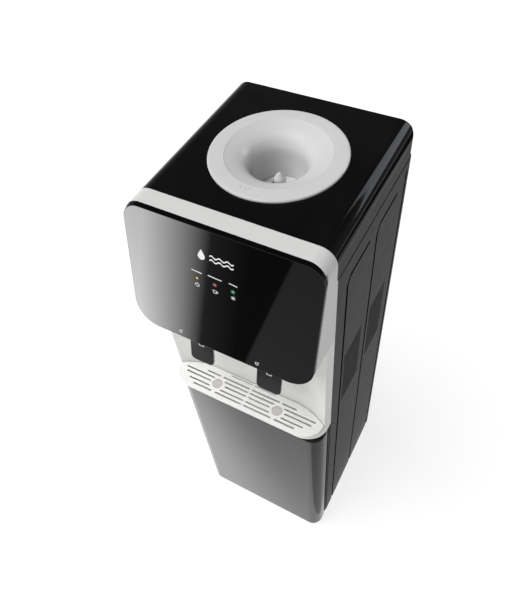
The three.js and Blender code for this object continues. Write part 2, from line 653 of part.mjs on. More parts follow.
function makeFan() {
  const { z, front, rear, half, bore, hub, blades } = FAN;
  const strutBack = front + 3;
  const body = block([-half, half], [front, rear], [z - half, z + half]);
  const hole = rod('y', [0, z], [front - 1, rear + 1], bore, bore, 32);
  const centre = rod('y', [0, z], [front, strutBack], hub, hub, 20);
  const spindle = rod('y', [0, z], [strutBack - 1, rear - 4], 2, 2, 12);
  let frame = join(cut(body, hole), centre, spindle);
  for (let k = 0; k < 3; k++) {
    const strut = block([0, bore + 1], [front, strutBack], [-2, 2]).rotate([0, 120 * k + 30, 0]);
    frame = join(frame, strut.translate(0, 0, z));
  }
  place('fan_frame', frame, 'black_plastic');

  const [discFront, discRear] = [front + 4, rear - 1];
  let rotor = rod('y', [0, 0], [discFront, discRear], hub, hub, 20);
  for (let k = 0; k < blades; k++) {
    const blade = block([hub - 3, bore - 2], [-1, 1], [-7, 7]).rotate([35, 0, 0])
      .translate(0, (discFront + discRear) / 2, 0).rotate([0, (360 / blades) * k, 0]);
    rotor = join(rotor, blade);
  }
  const shaftHole = rod('y', [0, 0], [front, rear - 3], 2.5, 2.5, 12);
  place('fan_rotor', cut(rotor, shaftHole), 'black_plastic').position.z = z;
}

function makeHotTank() {
  const { y, radius, bottom, top, wall, stub } = HOT;
  const shoulder = 8;
  const tank = turned([[0, bottom], [radius - shoulder, bottom], [radius, bottom + shoulder],
    [radius, top - shoulder], [radius - shoulder, top], [4, top], [4, stub], [2.5, stub],
    [2.5, top - wall], [radius - shoulder - 1, top - wall], [radius - wall, top - shoulder - 1],
    [radius - wall, bottom + shoulder + 1], [radius - shoulder - 1, bottom + wall], [0, bottom + wall]]);
  place('hot_tank', tank, 'steel').position.y = y;
  const [low, high] = [bottom + 38, bottom + 70];
  const band = turned([[radius + GAP, low], [radius + 3, low], [radius + 3, high],
    [radius + GAP, high], [radius + GAP, low]]);
  const terminals = block([-9, 9], [-radius - 10, -radius - 1.6], [low + 6, high - 6]);
  place('heater_band', join(band, terminals), 'zinc').position.y = y;
  const discZ = top - 25;
  const disc = rod('x', [0, discZ], [radius + GAP, radius + 12], 9, 7, 16);
  const tabs = block([radius + 11, radius + 18], [-5, 5], [discZ - 2, discZ + 2]);
  place('hot_thermostat', join(disc, tabs), 'black_plastic').position.y = y;
}

// ---------------------------------------------------------------- taps

function makeTap(name, x) {
  const tap = new THREE.Group();
  tap.position.x = x;
  cabinet.add(tap);
  const { y, low, top, nozzle, inlet, pipe } = TAP;
  const upright = (span, radius, endRadius, sides) => rod('z', [0, y], span, radius, endRadius, sides);
  const { y: pivotY, z: pivotZ, pin, hole, barrel: knuckle, half: knuckleHalf } = PIVOT;
  const pinHole = rod('x', [pivotY, pivotZ], [-20, 20], hole, hole, 12);

  const ear = [[9, 740], [-9.9, 740], [-9.9, 746], [-18, 751], [-18, 761], [-10, 761], [9, 748]];
  const earFace = ear.map(([reach, z]) => [y + reach, z]);
  const body = join(
    upright([low, top], TAP.barrel, TAP.barrel, 16),
    upright([nozzle, low + 1], 5, 6, 16),
    rod('y', [0, inlet], [y, TUBE.end - 1], pipe, pipe, 16),
    block([-12, 12], [y - 10, y + 11], [top - 10, top]),
    prism('x', earFace, [-12, -9]),
    prism('x', earFace, [9, 12]),
  );
  const bored = cut(
    body,
    upright([low + 3, top - 6], TAP.bore, TAP.bore, 12),
    upright([nozzle - 8, low + 4], TAP.bore / 2, TAP.bore / 2, 12),
    upright([top - 8, top + 2], 2.2, 2.2, 12),
    rod('y', [0, inlet], [y, TUBE.end + 3], TAP.bore / 2, TAP.bore / 2, 12),
    pinHole,
  );
  place(`${name}_tap_body`, bored, 'white_plastic', tap);
  place(`${name}_lever_pin`, rod('x', [pivotY, pivotZ], [-13, 13], pin, pin, 12), 'steel', tap);

  const { low: forkLow, thickness, half: forkHalf, slot } = FORK;
  const plugBase = low + 3.4;
  const headBase = forkLow + thickness + 1;
  const plug = turned([[0, plugBase], [3.4, plugBase], [5.8, plugBase + 2.6], [5.8, plugBase + 6.6],
    [1.6, plugBase + 6.6], [1.6, headBase], [4.5, headBase], [4.5, headBase + 3], [0, headBase + 3]], 16);
  place(`${name}_valve_stem`, plug.translate(0, y, 0), 'silicone', tap);
  place(`${name}_valve_spring`, valveSpring(), 'steel', tap);

  const plateFront = LEVER.pad + GAP;
  const plate = leverPlate(LEVER.half - 0.6, plateFront, plateFront + LEVER.plate);
  const knuckleBar = rod('x', [pivotY, pivotZ], [-knuckleHalf, knuckleHalf], knuckle, knuckle, 16);
  const neckFoot = LEVER.top - 8;
  const neck = prism('x', [
    [leverY(neckFoot, plateFront), neckFoot],
    [leverY(neckFoot, plateFront + LEVER.plate), neckFoot],
    [pivotY + 2, pivotZ - 4],
    [pivotY + 2, pivotZ + 2],
    [pivotY - 4, pivotZ + 2],
    [leverY(LEVER.top + 2, plateFront), LEVER.top + 2],
  ], [-knuckleHalf, knuckleHalf]);
  const fork = block([-forkHalf, forkHalf], [pivotY, y + 3], [forkLow, forkLow + thickness]);
  const forkSlot = block([-slot, slot], [y - 3, y + 6], [forkLow - 2, forkLow + thickness + 2]);
  const lever = cut(join(plate, knuckleBar, neck, fork), pinHole, forkSlot);
  place(`${name}_lever`, lever, 'white_plastic', tap);
  place(`${name}_lever_pad`, leverPlate(LEVER.half, 0, LEVER.pad), 'gloss_black', tap);
}

// y of the plane a distance behind the pad's leaning face, at a height.
function leverY(z, behind) {
  const lean = THREE.MathUtils.degToRad(LEVER.tilt);
  return LEVER.face + (z - LEVER.bottom) * Math.tan(lean) + behind / Math.cos(lean);
}

// A leaning plate with its two lower corners rounded, between two depths behind the pad's face.
function leverPlate(half, near, far) {
  const { bottom, top, face, corner, tilt } = LEVER;
  const shape = outline([
    [-half, 0, corner],
    [half, 0, corner],
    [half, top - bottom, 0],
    [-half, top - bottom, 0],
  ]);
  return prism('y', shape, [near, far]).rotate([-tilt, 0, 0]).translate(0, face, bottom);
}

function valveSpring() {
  const { low, high, turns, radius, wire } = SPRING;
  class Helix extends THREE.Curve {
    getPoint(t, target = new THREE.Vector3()) {
      const angle = t * turns * Math.PI * 2;
      const [x, y] = [radius * Math.cos(angle), TAP.y + radius * Math.sin(angle)];
      return target.set(x, y, low + (high - low) * t);
    }
  }
  return tube(new Helix(), wire, turns * 8, 4);
}

function makeTubes() {
  const { radius, end } = TUBE;
  const intoTap = (x) => [[x, end + 7, TAP.inlet], [x, end, TAP.inlet]];
  const hot = route([[0, HOT.y, HOT.stub + 1], [0, HOT.y, 650], [-12, 92, 680], [-40, 60, 705],
    [-60, 35, 721], ...intoTap(-TAP.x)]);
  place('hot_water_tube', tube(hot, radius, 18, 8), 'silicone');
  const [coldX, coldY] = [COLD.pipeX, SEAT.y + COLD.pipeY];
  const cold = route([[coldX, coldY, COLD.bottom - 24.6], [coldX, coldY, 712], [34, 84, 694],
    [46, 62, 690], [58, 42, 704], [TAP.x, end + 11, 720], [TAP.x, end, TAP.inlet]]);
  place('cold_water_tube', tube(cold, radius, 16, 8), 'silicone');
}

// ---------------------------------------------------------------- electrics and rear fittings

function makePowerBoard() {
  const { back, face, front, rear, bottom, top } = POWER_BOARD;
  const sheet = block([back, face], [front, rear], [bottom, top]);
  const transformer = block([back + 1, -112], [front + 10, front + 46], [bottom + 12, bottom + 48]);
  const relay = block([back + 1, -122], [front + 58, front + 86], [bottom + 16, bottom + 44]);
  const terminals = block([back + 1, -126], [front + 14, rear - 10], [top - 30, top - 8]);
  const post = (y, z) => rod('x', [y, z], [SIDE.sheet + GAP - HALF_WIDTH, back + 1], 3, 3, 12);
  const posts = [front + 6, rear - 6].flatMap((y) => [post(y, bottom + 6), post(y, top - 6)]);
  place('power_board', join(sheet, transformer, relay, terminals, ...posts), 'circuit');
}

function makeSwitches() {
  const { x, pitch, z, pivotY, tilt } = SWITCHES;
  const plate = block([x - 28, x + 28], [COVER.rear + GAP, COVER.rear + 2.5], [z - 17, z + 17]);
  const box = block([x - 24, x + 24], [pivotY - 11, COVER.rear + 1], [z - 13, z + 13]);
  let body = join(plate, box);
  const profile = [[-2, -8.2], [8, -8.2], [5.5, 0], [8, 8.2], [-2, 8.2]];
  for (const [name, hand] of [['heating_switch', -1], ['cooling_switch', 1]]) {
    const middle = x + (hand * pitch) / 2;
    body = cut(body, block([middle - 8, middle + 8], [pivotY - 4, pivotY + 14], [z - 10, z + 10]));
    const rocker = place(name, prism('x', profile, [-7.4, 7.4]), 'black_plastic');
    rocker.position.set(middle, pivotY, z);
    rocker.rotation.x = tilt;
  }
  place('switch_plate', body, 'black_plastic');
}

function makeRearFittings() {
  const outside = COVER.rear + GAP;
  const flange = rod('y', [0, 0], [outside, outside + 3.7], 12, 11, 20);
  const neck = rod('y', [0, 0], [SIDE.depth - 8, outside + 0.7], 7.6, 7.6, 20);
  const nut = rod('y', [0, 0], [SIDE.depth - 8, SIDE.depth - 0.5], 12, 12, 6);
  const bore = rod('y', [0, 0], [SIDE.depth - 20, SIDE.depth + 20], GLAND.bore, GLAND.bore, 16);
  place('cord_gland', cut(join(flange, neck, nut), bore), 'rubber').position.set(GLAND.x, 0, GLAND.z);

  const { x, z, pipe: pipeRadius, bore: boreRadius, cap: capRadius, end } = DRAIN;
  const capFront = outside + 2.7;
  const pipe = rod('y', [0, 0], [244, end - 3], pipeRadius, pipeRadius, 20);
  const collar = rod('y', [0, 0], [outside, outside + 2.3], 12, 12, 20);
  const pipeBore = rod('y', [0, 0], [240, end + 6], boreRadius, boreRadius, 16);
  place('drain_outlet', cut(join(pipe, collar), pipeBore), 'white_plastic').position.set(x, 0, z);
  const cap = rod('y', [0, 0], [capFront, end], capRadius, capRadius, 20);
  const capBore = rod('y', [0, 0], [capFront - 5, end - 2.4], pipeRadius + 0.5, pipeRadius + 0.5, 20);
  place('drain_cap', cut(cap, capBore), 'black_plastic').position.set(x, 0, z);
}

// ---------------------------------------------------------------- the whole dispenser

makeTopCover();
makeHeadHousing();
makeNicheHousing();
makeTrayHousing();
makeFrontPanel();
makeSidePanel('side_panel_left', -1);
makeSidePanel('side_panel_right', 1);
makeRearPanel();
makeBase();
makeStorageLiner();
makeHinges();
makeDoor();
makeDripTray();
makeBottleSeat();
makeFeedSpike();
makeColdTank();
makeCooler();
makeFan();
makeHotTank();
makeTap('hot', -TAP.x);
makeTap('cold', TAP.x);
makeTubes();
makePowerBoard();
makeSwitches();
makeRearFittings();

export default dispenser;
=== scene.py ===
import json
import math

import bmesh
import bpy
from mathutils import Matrix, Vector

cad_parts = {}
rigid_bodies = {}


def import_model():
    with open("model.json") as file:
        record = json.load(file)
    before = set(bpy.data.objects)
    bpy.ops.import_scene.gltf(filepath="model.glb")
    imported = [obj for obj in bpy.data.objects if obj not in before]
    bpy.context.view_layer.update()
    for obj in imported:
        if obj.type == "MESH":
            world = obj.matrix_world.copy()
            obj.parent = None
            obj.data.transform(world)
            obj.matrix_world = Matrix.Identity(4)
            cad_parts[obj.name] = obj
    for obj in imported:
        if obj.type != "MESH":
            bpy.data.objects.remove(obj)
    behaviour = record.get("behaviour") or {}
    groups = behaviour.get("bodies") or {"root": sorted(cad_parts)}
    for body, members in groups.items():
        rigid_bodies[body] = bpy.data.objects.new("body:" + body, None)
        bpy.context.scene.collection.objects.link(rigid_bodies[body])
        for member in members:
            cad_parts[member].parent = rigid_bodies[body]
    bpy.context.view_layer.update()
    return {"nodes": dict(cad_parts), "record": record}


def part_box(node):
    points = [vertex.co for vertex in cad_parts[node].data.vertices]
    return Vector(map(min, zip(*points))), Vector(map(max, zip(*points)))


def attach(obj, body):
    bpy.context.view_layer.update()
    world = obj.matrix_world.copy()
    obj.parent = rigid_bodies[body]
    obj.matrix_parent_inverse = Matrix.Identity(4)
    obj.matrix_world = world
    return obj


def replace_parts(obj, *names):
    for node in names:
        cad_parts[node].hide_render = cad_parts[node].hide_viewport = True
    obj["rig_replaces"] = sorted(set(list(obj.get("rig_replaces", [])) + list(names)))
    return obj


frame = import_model()

# ------------------------------------------------------------------ driving dimensions
# Millimetres. Pieces are drawn in the cabinet's own frame: y = 0 is the front edge of the side
# panels, z = 0 the floor. TO_ROW carries them to the frame's metres.

FRONT_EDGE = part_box("side_panel_right")[0].y
TO_ROW = Matrix.Translation((0, FRONT_EDGE, 0)) @ Matrix.Scale(0.001, 4)

HALF = 150
TOP = 970
COVER = dict(front=-3, rear=272, bottom=915.5, wall=3, edge=25, corner=10, hole=87)
SIDE = dict(depth=270, bottom=17, top=915, sheet=2, lip=11)
VENT = dict(low=515, count=17, pitch=9.1, height=4.6, spans=((45, 119), (155, 227)))
DOOR = dict(bottom=20.5, top=497, face=-48.8, rear=-15, corner=24, wall=2.5)
HINGE = dict(x=-141, y=-24, hole=3.5)
TRAY = dict(bottom=505, rim=544, top=548, face=-66, foot=-49, corner=38, wall=3, back=-0.4)
BASIN = dict(taper=6, draw=13, floor=513, gap=0.7)
GRILLE = dict(edge=0.4, gap=1.2, slot=1.7, rear_slot=1.3)
DISC = dict(x=62.5, y=-40, radius=9.2, recess=545.2)
NICHE = dict(top=784.7, wall=3, back=-9, flat=85, splay=20)
HEAD = dict(bottom=785, wall=3, rim=9, lip=5.3, pocket_top=956)
PANEL = dict(tilt=math.radians(12.5), y=-82.4, z=757.6, half=151, length=213.9, thick=5, top=27, bottom=40,
             flare=4.5)
LIGHTS = dict(height=129.4, first=-34.1, pitch=28.6, hole=2.8)
BOARD = dict(left=-50, right=40)
SEAT = dict(y=130, radius=100, top=974, throat=39, bottom=893)
TAP = dict(x=63, inlet=722, hole=6.5)
LEVER = dict(half=22, bottom=655, top=742, face=-61, pad=2.7, corner=9, tilt=12.5)

# ------------------------------------------------------------------ drawing


def outline(corners, steps=12):
    """Points round a polygon of (x, y, radius) corners, each rounded where its radius is not 0."""
    points = []
    for i, (x, y, radius) in enumerate(corners):
        here = Vector((x, y))
        if not radius:
            points.append(here)
            continue
        back = (Vector(corners[i - 1][:2]) - here).normalized()
        ahead = (Vector(corners[(i + 1) % len(corners)][:2]) - here).normalized()
        half = math.acos(max(-1, min(1, back.dot(ahead)))) / 2
        centre = here + (back + ahead).normalized() * (radius / math.sin(half))
        start = here + back * (radius / math.tan(half)) - centre
        turn = (math.pi - 2 * half) * (1 if ahead.x * back.y - ahead.y * back.x > 0 else -1)
        for k in range(steps + 1):
            points.append(centre + Matrix.Rotation(turn * k / steps, 2) @ start)
    return points


def new_piece(name, verts, faces):
    """A mesh object from points in the cabinet's millimetres, its faces turned outwards."""
    mesh = bpy.data.meshes.new(name)
    mesh.from_pydata([tuple(vert) for vert in verts], [], faces)
    shell = bmesh.new()
    shell.from_mesh(mesh)
    bmesh.ops.recalc_face_normals(shell, faces=shell.faces)
    shell.to_mesh(mesh)
    shell.free()
    piece = bpy.data.objects.new(name, mesh)
    bpy.context.scene.collection.objects.link(piece)
    return piece


AXES = {
    "x": Matrix(((0, 0, 1), (1, 0, 0), (0, 1, 0))),
    "y": Matrix(((1, 0, 0), (0, 0, 1), (0, 1, 0))),
    "z": Matrix.Identity(3),
}


def loft(name, layers, turn=None):
    """A solid through outlines of equal point counts. Each layer is (points, height)."""
    count = len(layers[0][0])
    verts = [Vector((p[0], p[1], z)) for points, z in layers for p in points]
    faces = []
    for level in range(len(layers) - 1):
        for i in range(count):
            a, b = level * count + i, level * count + (i + 1) % count
            faces.append((a, b, b + count, a + count))
    last = (len(layers) - 1) * count
    faces.append(tuple(reversed(range(count))))
    faces.append(tuple(range(last, last + count)))
    if turn is not None:
        verts = [turn @ v for v in verts]
    return new_piece(name, verts, faces)


def prism(name, axis, points, span):
    """An outline pushed along an axis: (x, y) for z, (x, z) for y, (y, z) for x."""
    return loft(name, [(points, span[0]), (points, span[1])], AXES[axis])


def block(name, x, y, z):
    return prism(name, "z", [(x[0], y[0]), (x[1], y[0]), (x[1], y[1]), (x[0], y[1])], z)


def circle(radius, centre=(0, 0), sides=48):
    steps = [2 * math.pi * k / sides for k in range(sides)]
    return [(centre[0] + radius * math.cos(a), centre[1] + radius * math.sin(a)) for a in steps]


def rod(name, axis, centre, span, radius, sides=48):
    return prism(name, axis, circle(radius, centre, sides), span)


def turned(name, profile, sides=96, centre=(0, 0), closed=False):
    """A profile of (radius, z) turned about the Z axis. Points at radius 0 become single points."""
    verts, rings = [], []
    for radius, z in profile:
        if radius < 1e-6:
            rings.append([len(verts)] * sides)
            verts.append((centre[0], centre[1], z))
            continue
        rings.append([len(verts) + k for k in range(sides)])
        verts += [(x, y, z) for x, y in circle(radius, centre, sides)]
    pairs = list(zip(rings, rings[1:])) + ([(rings[-1], rings[0])] if closed else [])
    faces = []
    for low, high in pairs:
        for k in range(sides):
            n = (k + 1) % sides
            corners = [low[k], low[n], high[n], high[k]]
            face = [c for i, c in enumerate(corners) if c != corners[i - 1]]
            if len(face) > 2:
                faces.append(tuple(face))
    return new_piece(name, verts, faces)


def flat_shapes(name, polygons, low, high, turn):
    """Thin closed shapes, all one piece, between two heights over a plane that turn places."""
    verts, faces = [], []
    for polygon in polygons:
        first, count = len(verts), len(polygon)
        verts += [turn @ Vector((x, y, z)) for z in (low, high) for x, y in polygon]
        faces += [tuple(first + k for k in range(count)), tuple(first + count + k for k in range(count))]
        for k in range(count):
            n = (k + 1) % count
            faces.append((first + k, first + n, first + count + n, first + count + k))
    return new_piece(name, verts, faces)


def bar(start, end, width):
    """A straight stroke with square ends."""
    start, end = Vector(start), Vector(end)
    along = (end - start).normalized() * width / 2
    across = Vector((-along.y, along.x))
    return [start - across, end - across, end + across, start + across]


def arc(centre, radius, width, first, last, steps=20):
    """A curved stroke between two angles in degrees."""
    angles = [math.radians(first + (last - first) * k / steps) for k in range(steps + 1)]
    rim = [(centre[0] + (radius + width / 2) * math.cos(a), centre[1] + (radius + width / 2) * math.sin(a))
           for a in angles]
    core = [(centre[0] + (radius - width / 2) * math.cos(a), centre[1] + (radius - width / 2) * math.sin(a))
            for a in angles]
    return rim + core[::-1]


def wave(start, length, level, rise, width, steps=36):
    """A wavy stroke of three crests."""
    line = [(start + length * k / steps, level + rise * math.sin(6 * math.pi * k / steps))
            for k in range(steps + 1)]
    return [(x, y + width / 2) for x, y in line] + [(x, y - width / 2) for x, y in reversed(line)]


def bake(piece):
    """Applies every modifier."""
    graph = bpy.context.evaluated_depsgraph_get()
    mesh = bpy.data.meshes.new_from_object(piece.evaluated_get(graph))
    piece.modifiers.clear()
    piece.data = mesh
    return piece


def combine(piece, operation, *tools):
    """Cuts, adds or crosses a piece with others, which are used up."""
    for tool in tools:
        modifier = piece.modifiers.new("join", "BOOLEAN")
        modifier.operation = operation
        modifier.solver = "EXACT"
        modifier.object = tool
    bake(piece)
    for tool in tools:
        bpy.data.objects.remove(tool)
    return piece


def cut(piece, *tools):
    return combine(piece, "DIFFERENCE", *tools)


def soften(piece, width=0.8, segments=3, angle=32):
    """Rounds the sharp edges by a width in millimetres and shades the rest smooth."""
    if width:
        bevel = piece.modifiers.new("edge", "BEVEL")
        bevel.width = width
        bevel.segments = segments
        bevel.limit_method = "ANGLE"
        bevel.angle_limit = math.radians(angle)
        bevel.use_clamp_overlap = True
        bevel.miter_outer = "MITER_ARC"
        bake(piece)
    piece.data.shade_smooth()
    piece.data.set_sharp_from_angle(angle=math.radians(angle + 6))
    weighted = piece.modifiers.new("shade", "WEIGHTED_NORMAL")
    weighted.keep_sharp = True
    return bake(piece)


def mount(piece, body, slot, paint, *nodes):
    """Brings a finished piece to the row frame, paints it and puts it on its body."""
    piece.data.transform(TO_ROW)
    coats = [face.material_index for face in piece.data.polygons]
    piece.data.materials.clear()
    for coat in paint if isinstance(paint, tuple) else (paint,):
        piece.data.materials.append(coat)
    if isinstance(paint, tuple):
        piece.data.polygons.foreach_set("material_index", coats)
    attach(piece, body)
    if nodes:
        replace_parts(piece, *nodes)
    return piece


def second_coat(piece, chosen):
    """Gives the faces that chosen(centre, normal) picks the piece's second paint."""
    for face in piece.data.polygons:
        face.material_index = int(chosen(face.center, face.normal))


# ------------------------------------------------------------------ materials

def shader(name):
    paint = bpy.data.materials.new(name)
    paint.use_nodes = True
    tree = paint.node_tree
    return paint, tree, tree.nodes["Principled BSDF"]


def noise(tree, size, detail=3.0, stretch=(1, 1, 1), rough=0.5):
    """Cloudy noise whose features are about size millimetres across, in the object's own space."""
    where = tree.nodes.new("ShaderNodeTexCoord")
    scaled = tree.nodes.new("ShaderNodeMapping")
    scaled.inputs["Scale"].default_value = stretch
    tree.links.new(where.outputs["Object"], scaled.inputs["Vector"])
    cloud = tree.nodes.new("ShaderNodeTexNoise")
    cloud.inputs["Scale"].default_value = 1000 / size
    cloud.inputs["Detail"].default_value = detail
    cloud.inputs["Roughness"].default_value = rough
    tree.links.new(scaled.outputs["Vector"], cloud.inputs["Vector"])
    return cloud.outputs["Fac"]


def spread(tree, source, low, high, start=0.3, end=0.7):
    """Maps the middle of a noise to the range low to high."""
    ranged = tree.nodes.new("ShaderNodeMapRange")
    ranged.inputs["From Min"].default_value = start
    ranged.inputs["From Max"].default_value = end
    ranged.inputs["To Min"].default_value = low
    ranged.inputs["To Max"].default_value = high
    tree.links.new(source, ranged.inputs["Value"])
    return ranged.outputs["Result"]


def blend_colours(tree, factor, first, second):
    mixed = tree.nodes.new("ShaderNodeMix")
    mixed.data_type = "RGBA"
    mixed.inputs["A"].default_value = (*first, 1)
    mixed.inputs["B"].default_value = (*second, 1)
    tree.links.new(factor, mixed.inputs["Factor"])
    return mixed.outputs["Result"]


def emboss(tree, bsdf, height, depth, strength=1.0):
    """Raises the surface by a height map, at most depth millimetres."""
    raised = tree.nodes.new("ShaderNodeBump")
    raised.inputs["Distance"].default_value = depth / 1000
    raised.inputs["Strength"].default_value = strength
    tree.links.new(height, raised.inputs["Height"])
    tree.links.new(raised.outputs["Normal"], bsdf.inputs["Normal"])


def shade(colour, factor):
    return tuple(part * factor for part in colour)


def moulded(name, colour, roughness, change=0.05, mottle=0.05, grain=0.7, depth=0.01, **sockets):
    """Painted or moulded surface: slight colour clouds, uneven gloss and a fine grain."""
    paint, tree, bsdf = shader(name)
    clouds = noise(tree, 70, 4)
    dark, light = shade(colour, 1 - mottle), shade(colour, 1 + mottle)
    tone = blend_colours(tree, spread(tree, clouds, 0, 1), dark, light)
    tree.links.new(tone, bsdf.inputs["Base Color"])
    smudges = noise(tree, 16, 6, rough=0.62)
    low = max(0.01, roughness - change)
    tree.links.new(spread(tree, smudges, low, roughness + change), bsdf.inputs["Roughness"])
    emboss(tree, bsdf, noise(tree, grain, 2), depth)
    for socket, value in sockets.items():
        bsdf.inputs[socket.replace("_", " ")].default_value = value
    return paint


def brushed(name, colour, roughness, stretch, metallic=1.0):
    """Metal with fine lines along one axis."""
    paint, tree, bsdf = shader(name)
    lines = noise(tree, 8, 5, stretch, 0.7)
    tone = blend_colours(tree, spread(tree, lines, 0, 1), shade(colour, 0.86), shade(colour, 1.08))
    tree.links.new(tone, bsdf.inputs["Base Color"])
    tree.links.new(spread(tree, lines, roughness - 0.08, roughness + 0.1), bsdf.inputs["Roughness"])
    emboss(tree, bsdf, lines, 0.02)
    bsdf.inputs["Metallic"].default_value = metallic
    return paint


def foam_beads(name, colour):
    """Expanded bead foam: rounded cells with thin seams."""
    paint, tree, bsdf = shader(name)
    where = tree.nodes.new("ShaderNodeTexCoord")
    cells = tree.nodes.new("ShaderNodeTexVoronoi")
    cells.inputs["Scale"].default_value = 260
    tree.links.new(where.outputs["Object"], cells.inputs["Vector"])
    edge = spread(tree, cells.outputs["Distance"], 0, 1, 0.1, 0.75)
    tree.links.new(blend_colours(tree, edge, colour, shade(colour, 0.8)), bsdf.inputs["Base Color"])
    bsdf.inputs["Roughness"].default_value = 0.9
    emboss(tree, bsdf, spread(tree, cells.outputs["Distance"], 1, 0, 0.1, 0.75), 0.4)
    return paint


def circuit_board(name, colour):
    """Solder mask with faint copper tracks under it."""
    paint, tree, bsdf = shader(name)
    where = tree.nodes.new("ShaderNodeTexCoord")
    tracks = tree.nodes.new("ShaderNodeTexBrick")
    tracks.inputs["Scale"].default_value = 90
    tracks.inputs["Mortar Size"].default_value = 0.06
    tracks.inputs["Color1"].default_value = (*colour, 1)
    tracks.inputs["Color2"].default_value = (*shade(colour, 0.75), 1)
    tracks.inputs["Mortar"].default_value = (*shade(colour, 2.2), 1)
    turned_map = tree.nodes.new("ShaderNodeMapping")
    turned_map.inputs["Rotation"].default_value = (0, math.radians(90), 0)
    tree.links.new(where.outputs["Object"], turned_map.inputs["Vector"])
    tree.links.new(turned_map.outputs["Vector"], tracks.inputs["Vector"])
    tree.links.new(tracks.outputs["Color"], bsdf.inputs["Base Color"])
    tree.links.new(spread(tree, noise(tree, 3, 4), 0.3, 0.5), bsdf.inputs["Roughness"])
    emboss(tree, bsdf, tracks.outputs["Fac"], 0.05)
    return paint


def lens(name, colour, glow):
    """A lit indicator: a bright middle that fades to a tinted clear rim."""
    paint, tree, bsdf = shader(name)
    rim = tree.nodes.new("ShaderNodeLayerWeight")
    rim.inputs["Blend"].default_value = 0.35
    speck = noise(tree, 0.9, 2)
    body = blend_colours(tree, spread(tree, speck, 0, 1), shade(colour, 0.9), colour)
    tree.links.new(body, bsdf.inputs["Base Color"])
    light = blend_colours(tree, rim.outputs["Facing"], colour, shade(colour, 0.25))
    tree.links.new(light, bsdf.inputs["Emission Color"])
    bsdf.inputs["Emission Strength"].default_value = glow
    bsdf.inputs["Roughness"].default_value = 0.12
    bsdf.inputs["Coat Weight"].default_value = 0.8
    return paint


PAINT = {
    "cover_black": moulded("cover_black", (0.0045, 0.0045, 0.0046), 0.07, 0.02, 0.2, 2.2, 0.002,
                            Specular_IOR_Level=0.15),
    "panel_black": moulded("panel_black", (0.0012, 0.0012, 0.0014), 0.04, 0.01, 0.2, 4, 0.001),
    "key_black": moulded("key_black", (0.006, 0.006, 0.0065), 0.12, 0.03, 0.1, 1.5, 0.002,
                          Specular_IOR_Level=0.2),
    "head_white": moulded("head_white", (0.66, 0.66, 0.65), 0.34, 0.03, 0.01, 0.8, 0.004),
    "tray_white": moulded("tray_white", (0.79, 0.787, 0.77), 0.42, 0.04, 0.01, 0.6, 0.006),
    "disc_beige": moulded("disc_beige", (0.52, 0.50, 0.47), 0.6, 0.06, 0.06, 0.5, 0.02),
    "seat_white": moulded("seat_white", (0.61, 0.615, 0.61), 0.24, 0.02, 0.01, 1.0, 0.002),
    "cabinet_grey": moulded("cabinet_grey", (0.035, 0.035, 0.036), 0.42, 0.03, 0.04, 0.8, 0.012,
                             Specular_IOR_Level=0.1),
    "dark_plastic": moulded("dark_plastic", (0.02, 0.02, 0.021), 0.55, 0.06, 0.08, 0.7, 0.015),
    "door_grey": moulded("door_grey", (0.022, 0.022, 0.022), 0.14, 0.02, 0.05, 1.4, 0.002,
                          Specular_IOR_Level=0.18),
    "light_grey": moulded("light_grey", (0.45, 0.455, 0.46), 0.5, 0.05, 0.03, 0.7, 0.015),
    "rubber": moulded("rubber", (0.018, 0.018, 0.018), 0.8, 0.1, 0.2, 0.5, 0.04),
    "silicone": moulded("silicone", (0.72, 0.74, 0.72), 0.4, 0.08, 0.03, 1.2, 0.01, Transmission_Weight=0.25),
    "steel": brushed("steel", (0.62, 0.62, 0.63), 0.28, (1, 1, 14)),
    "zinc": moulded("zinc", (0.45, 0.46, 0.47), 0.38, 0.1, 0.14, 2.4, 0.02, Metallic=0.9),
    "aluminium": brushed("aluminium", (0.7, 0.71, 0.72), 0.34, (12, 12, 1)),
    # Painted shade: the foam is painted near-black, so that what shows through the side vents reads as shade.
    "foam": foam_beads("foam", (0.05, 0.051, 0.053)),
    "ceramic": moulded("ceramic", (0.82, 0.81, 0.78), 0.6, 0.08, 0.04, 0.4, 0.02),
    "circuit": circuit_board("circuit", (0.02, 0.13, 0.05)),
    "black_plastic": moulded("black_plastic", (0.012, 0.012, 0.013), 0.5, 0.08, 0.1, 0.6, 0.02),
    "amber_lens": lens("amber_lens", (0.62, 0.33, 0.08), 0.35),
    "red_lens": lens("red_lens", (0.5, 0.04, 0.02), 0.35),
    "green_lens": lens("green_lens", (0.02, 0.36, 0.1), 0.35),
}
PRINT_WHITE = moulded("print_white", (0.75, 0.75, 0.75), 0.5, 0.05, 0.03, 0.4, 0.005)
# Painted light: a paler white than the grille's own plastic, for the upright faces among the slots, so that
# the slots read bright instead of shaded.
SLOT_PAINTED_LIGHT = moulded("slot_painted_light", (0.86, 0.85, 0.82), 0.6, 0.08, 0.05, 0.6, 0.012)
# Painted shade: near-black paint for the walls and floors of the side panels' grooves, vent slots and top
# seam, standing in for the shade inside them.
RECESS_PAINTED_SHADE = moulded("recess_painted_shade", (0.002, 0.002, 0.002), 0.7, 0.08, 0.2, 0.9, 0.02,
                       Specular_IOR_Level=0.0)

# ------------------------------------------------------------------ shared outlines


def hood(half, bottom, top, radius, steps=16):
    return outline([(-half, bottom, 0), (half, bottom, 0), (half, top, radius), (-half, top, radius)], steps)


def niche_y(x):
    past = max(0, abs(x) - NICHE["flat"]) / (HALF - NICHE["flat"])
    return NICHE["back"] - NICHE["splay"] * past**2


def niche_line(half, shift, steps=20):
    stations = [NICHE["flat"] + (half - NICHE["flat"]) * k / steps for k in range(steps + 1)]
    return [(x, niche_y(x) + shift) for x in [-past for past in reversed(stations)] + stations]


def tray_front(half, face, corner, back=-0.4):
    return outline([(-half, back, 0), (-half, face, corner), (half, face, corner), (half, back, 0)], 18)


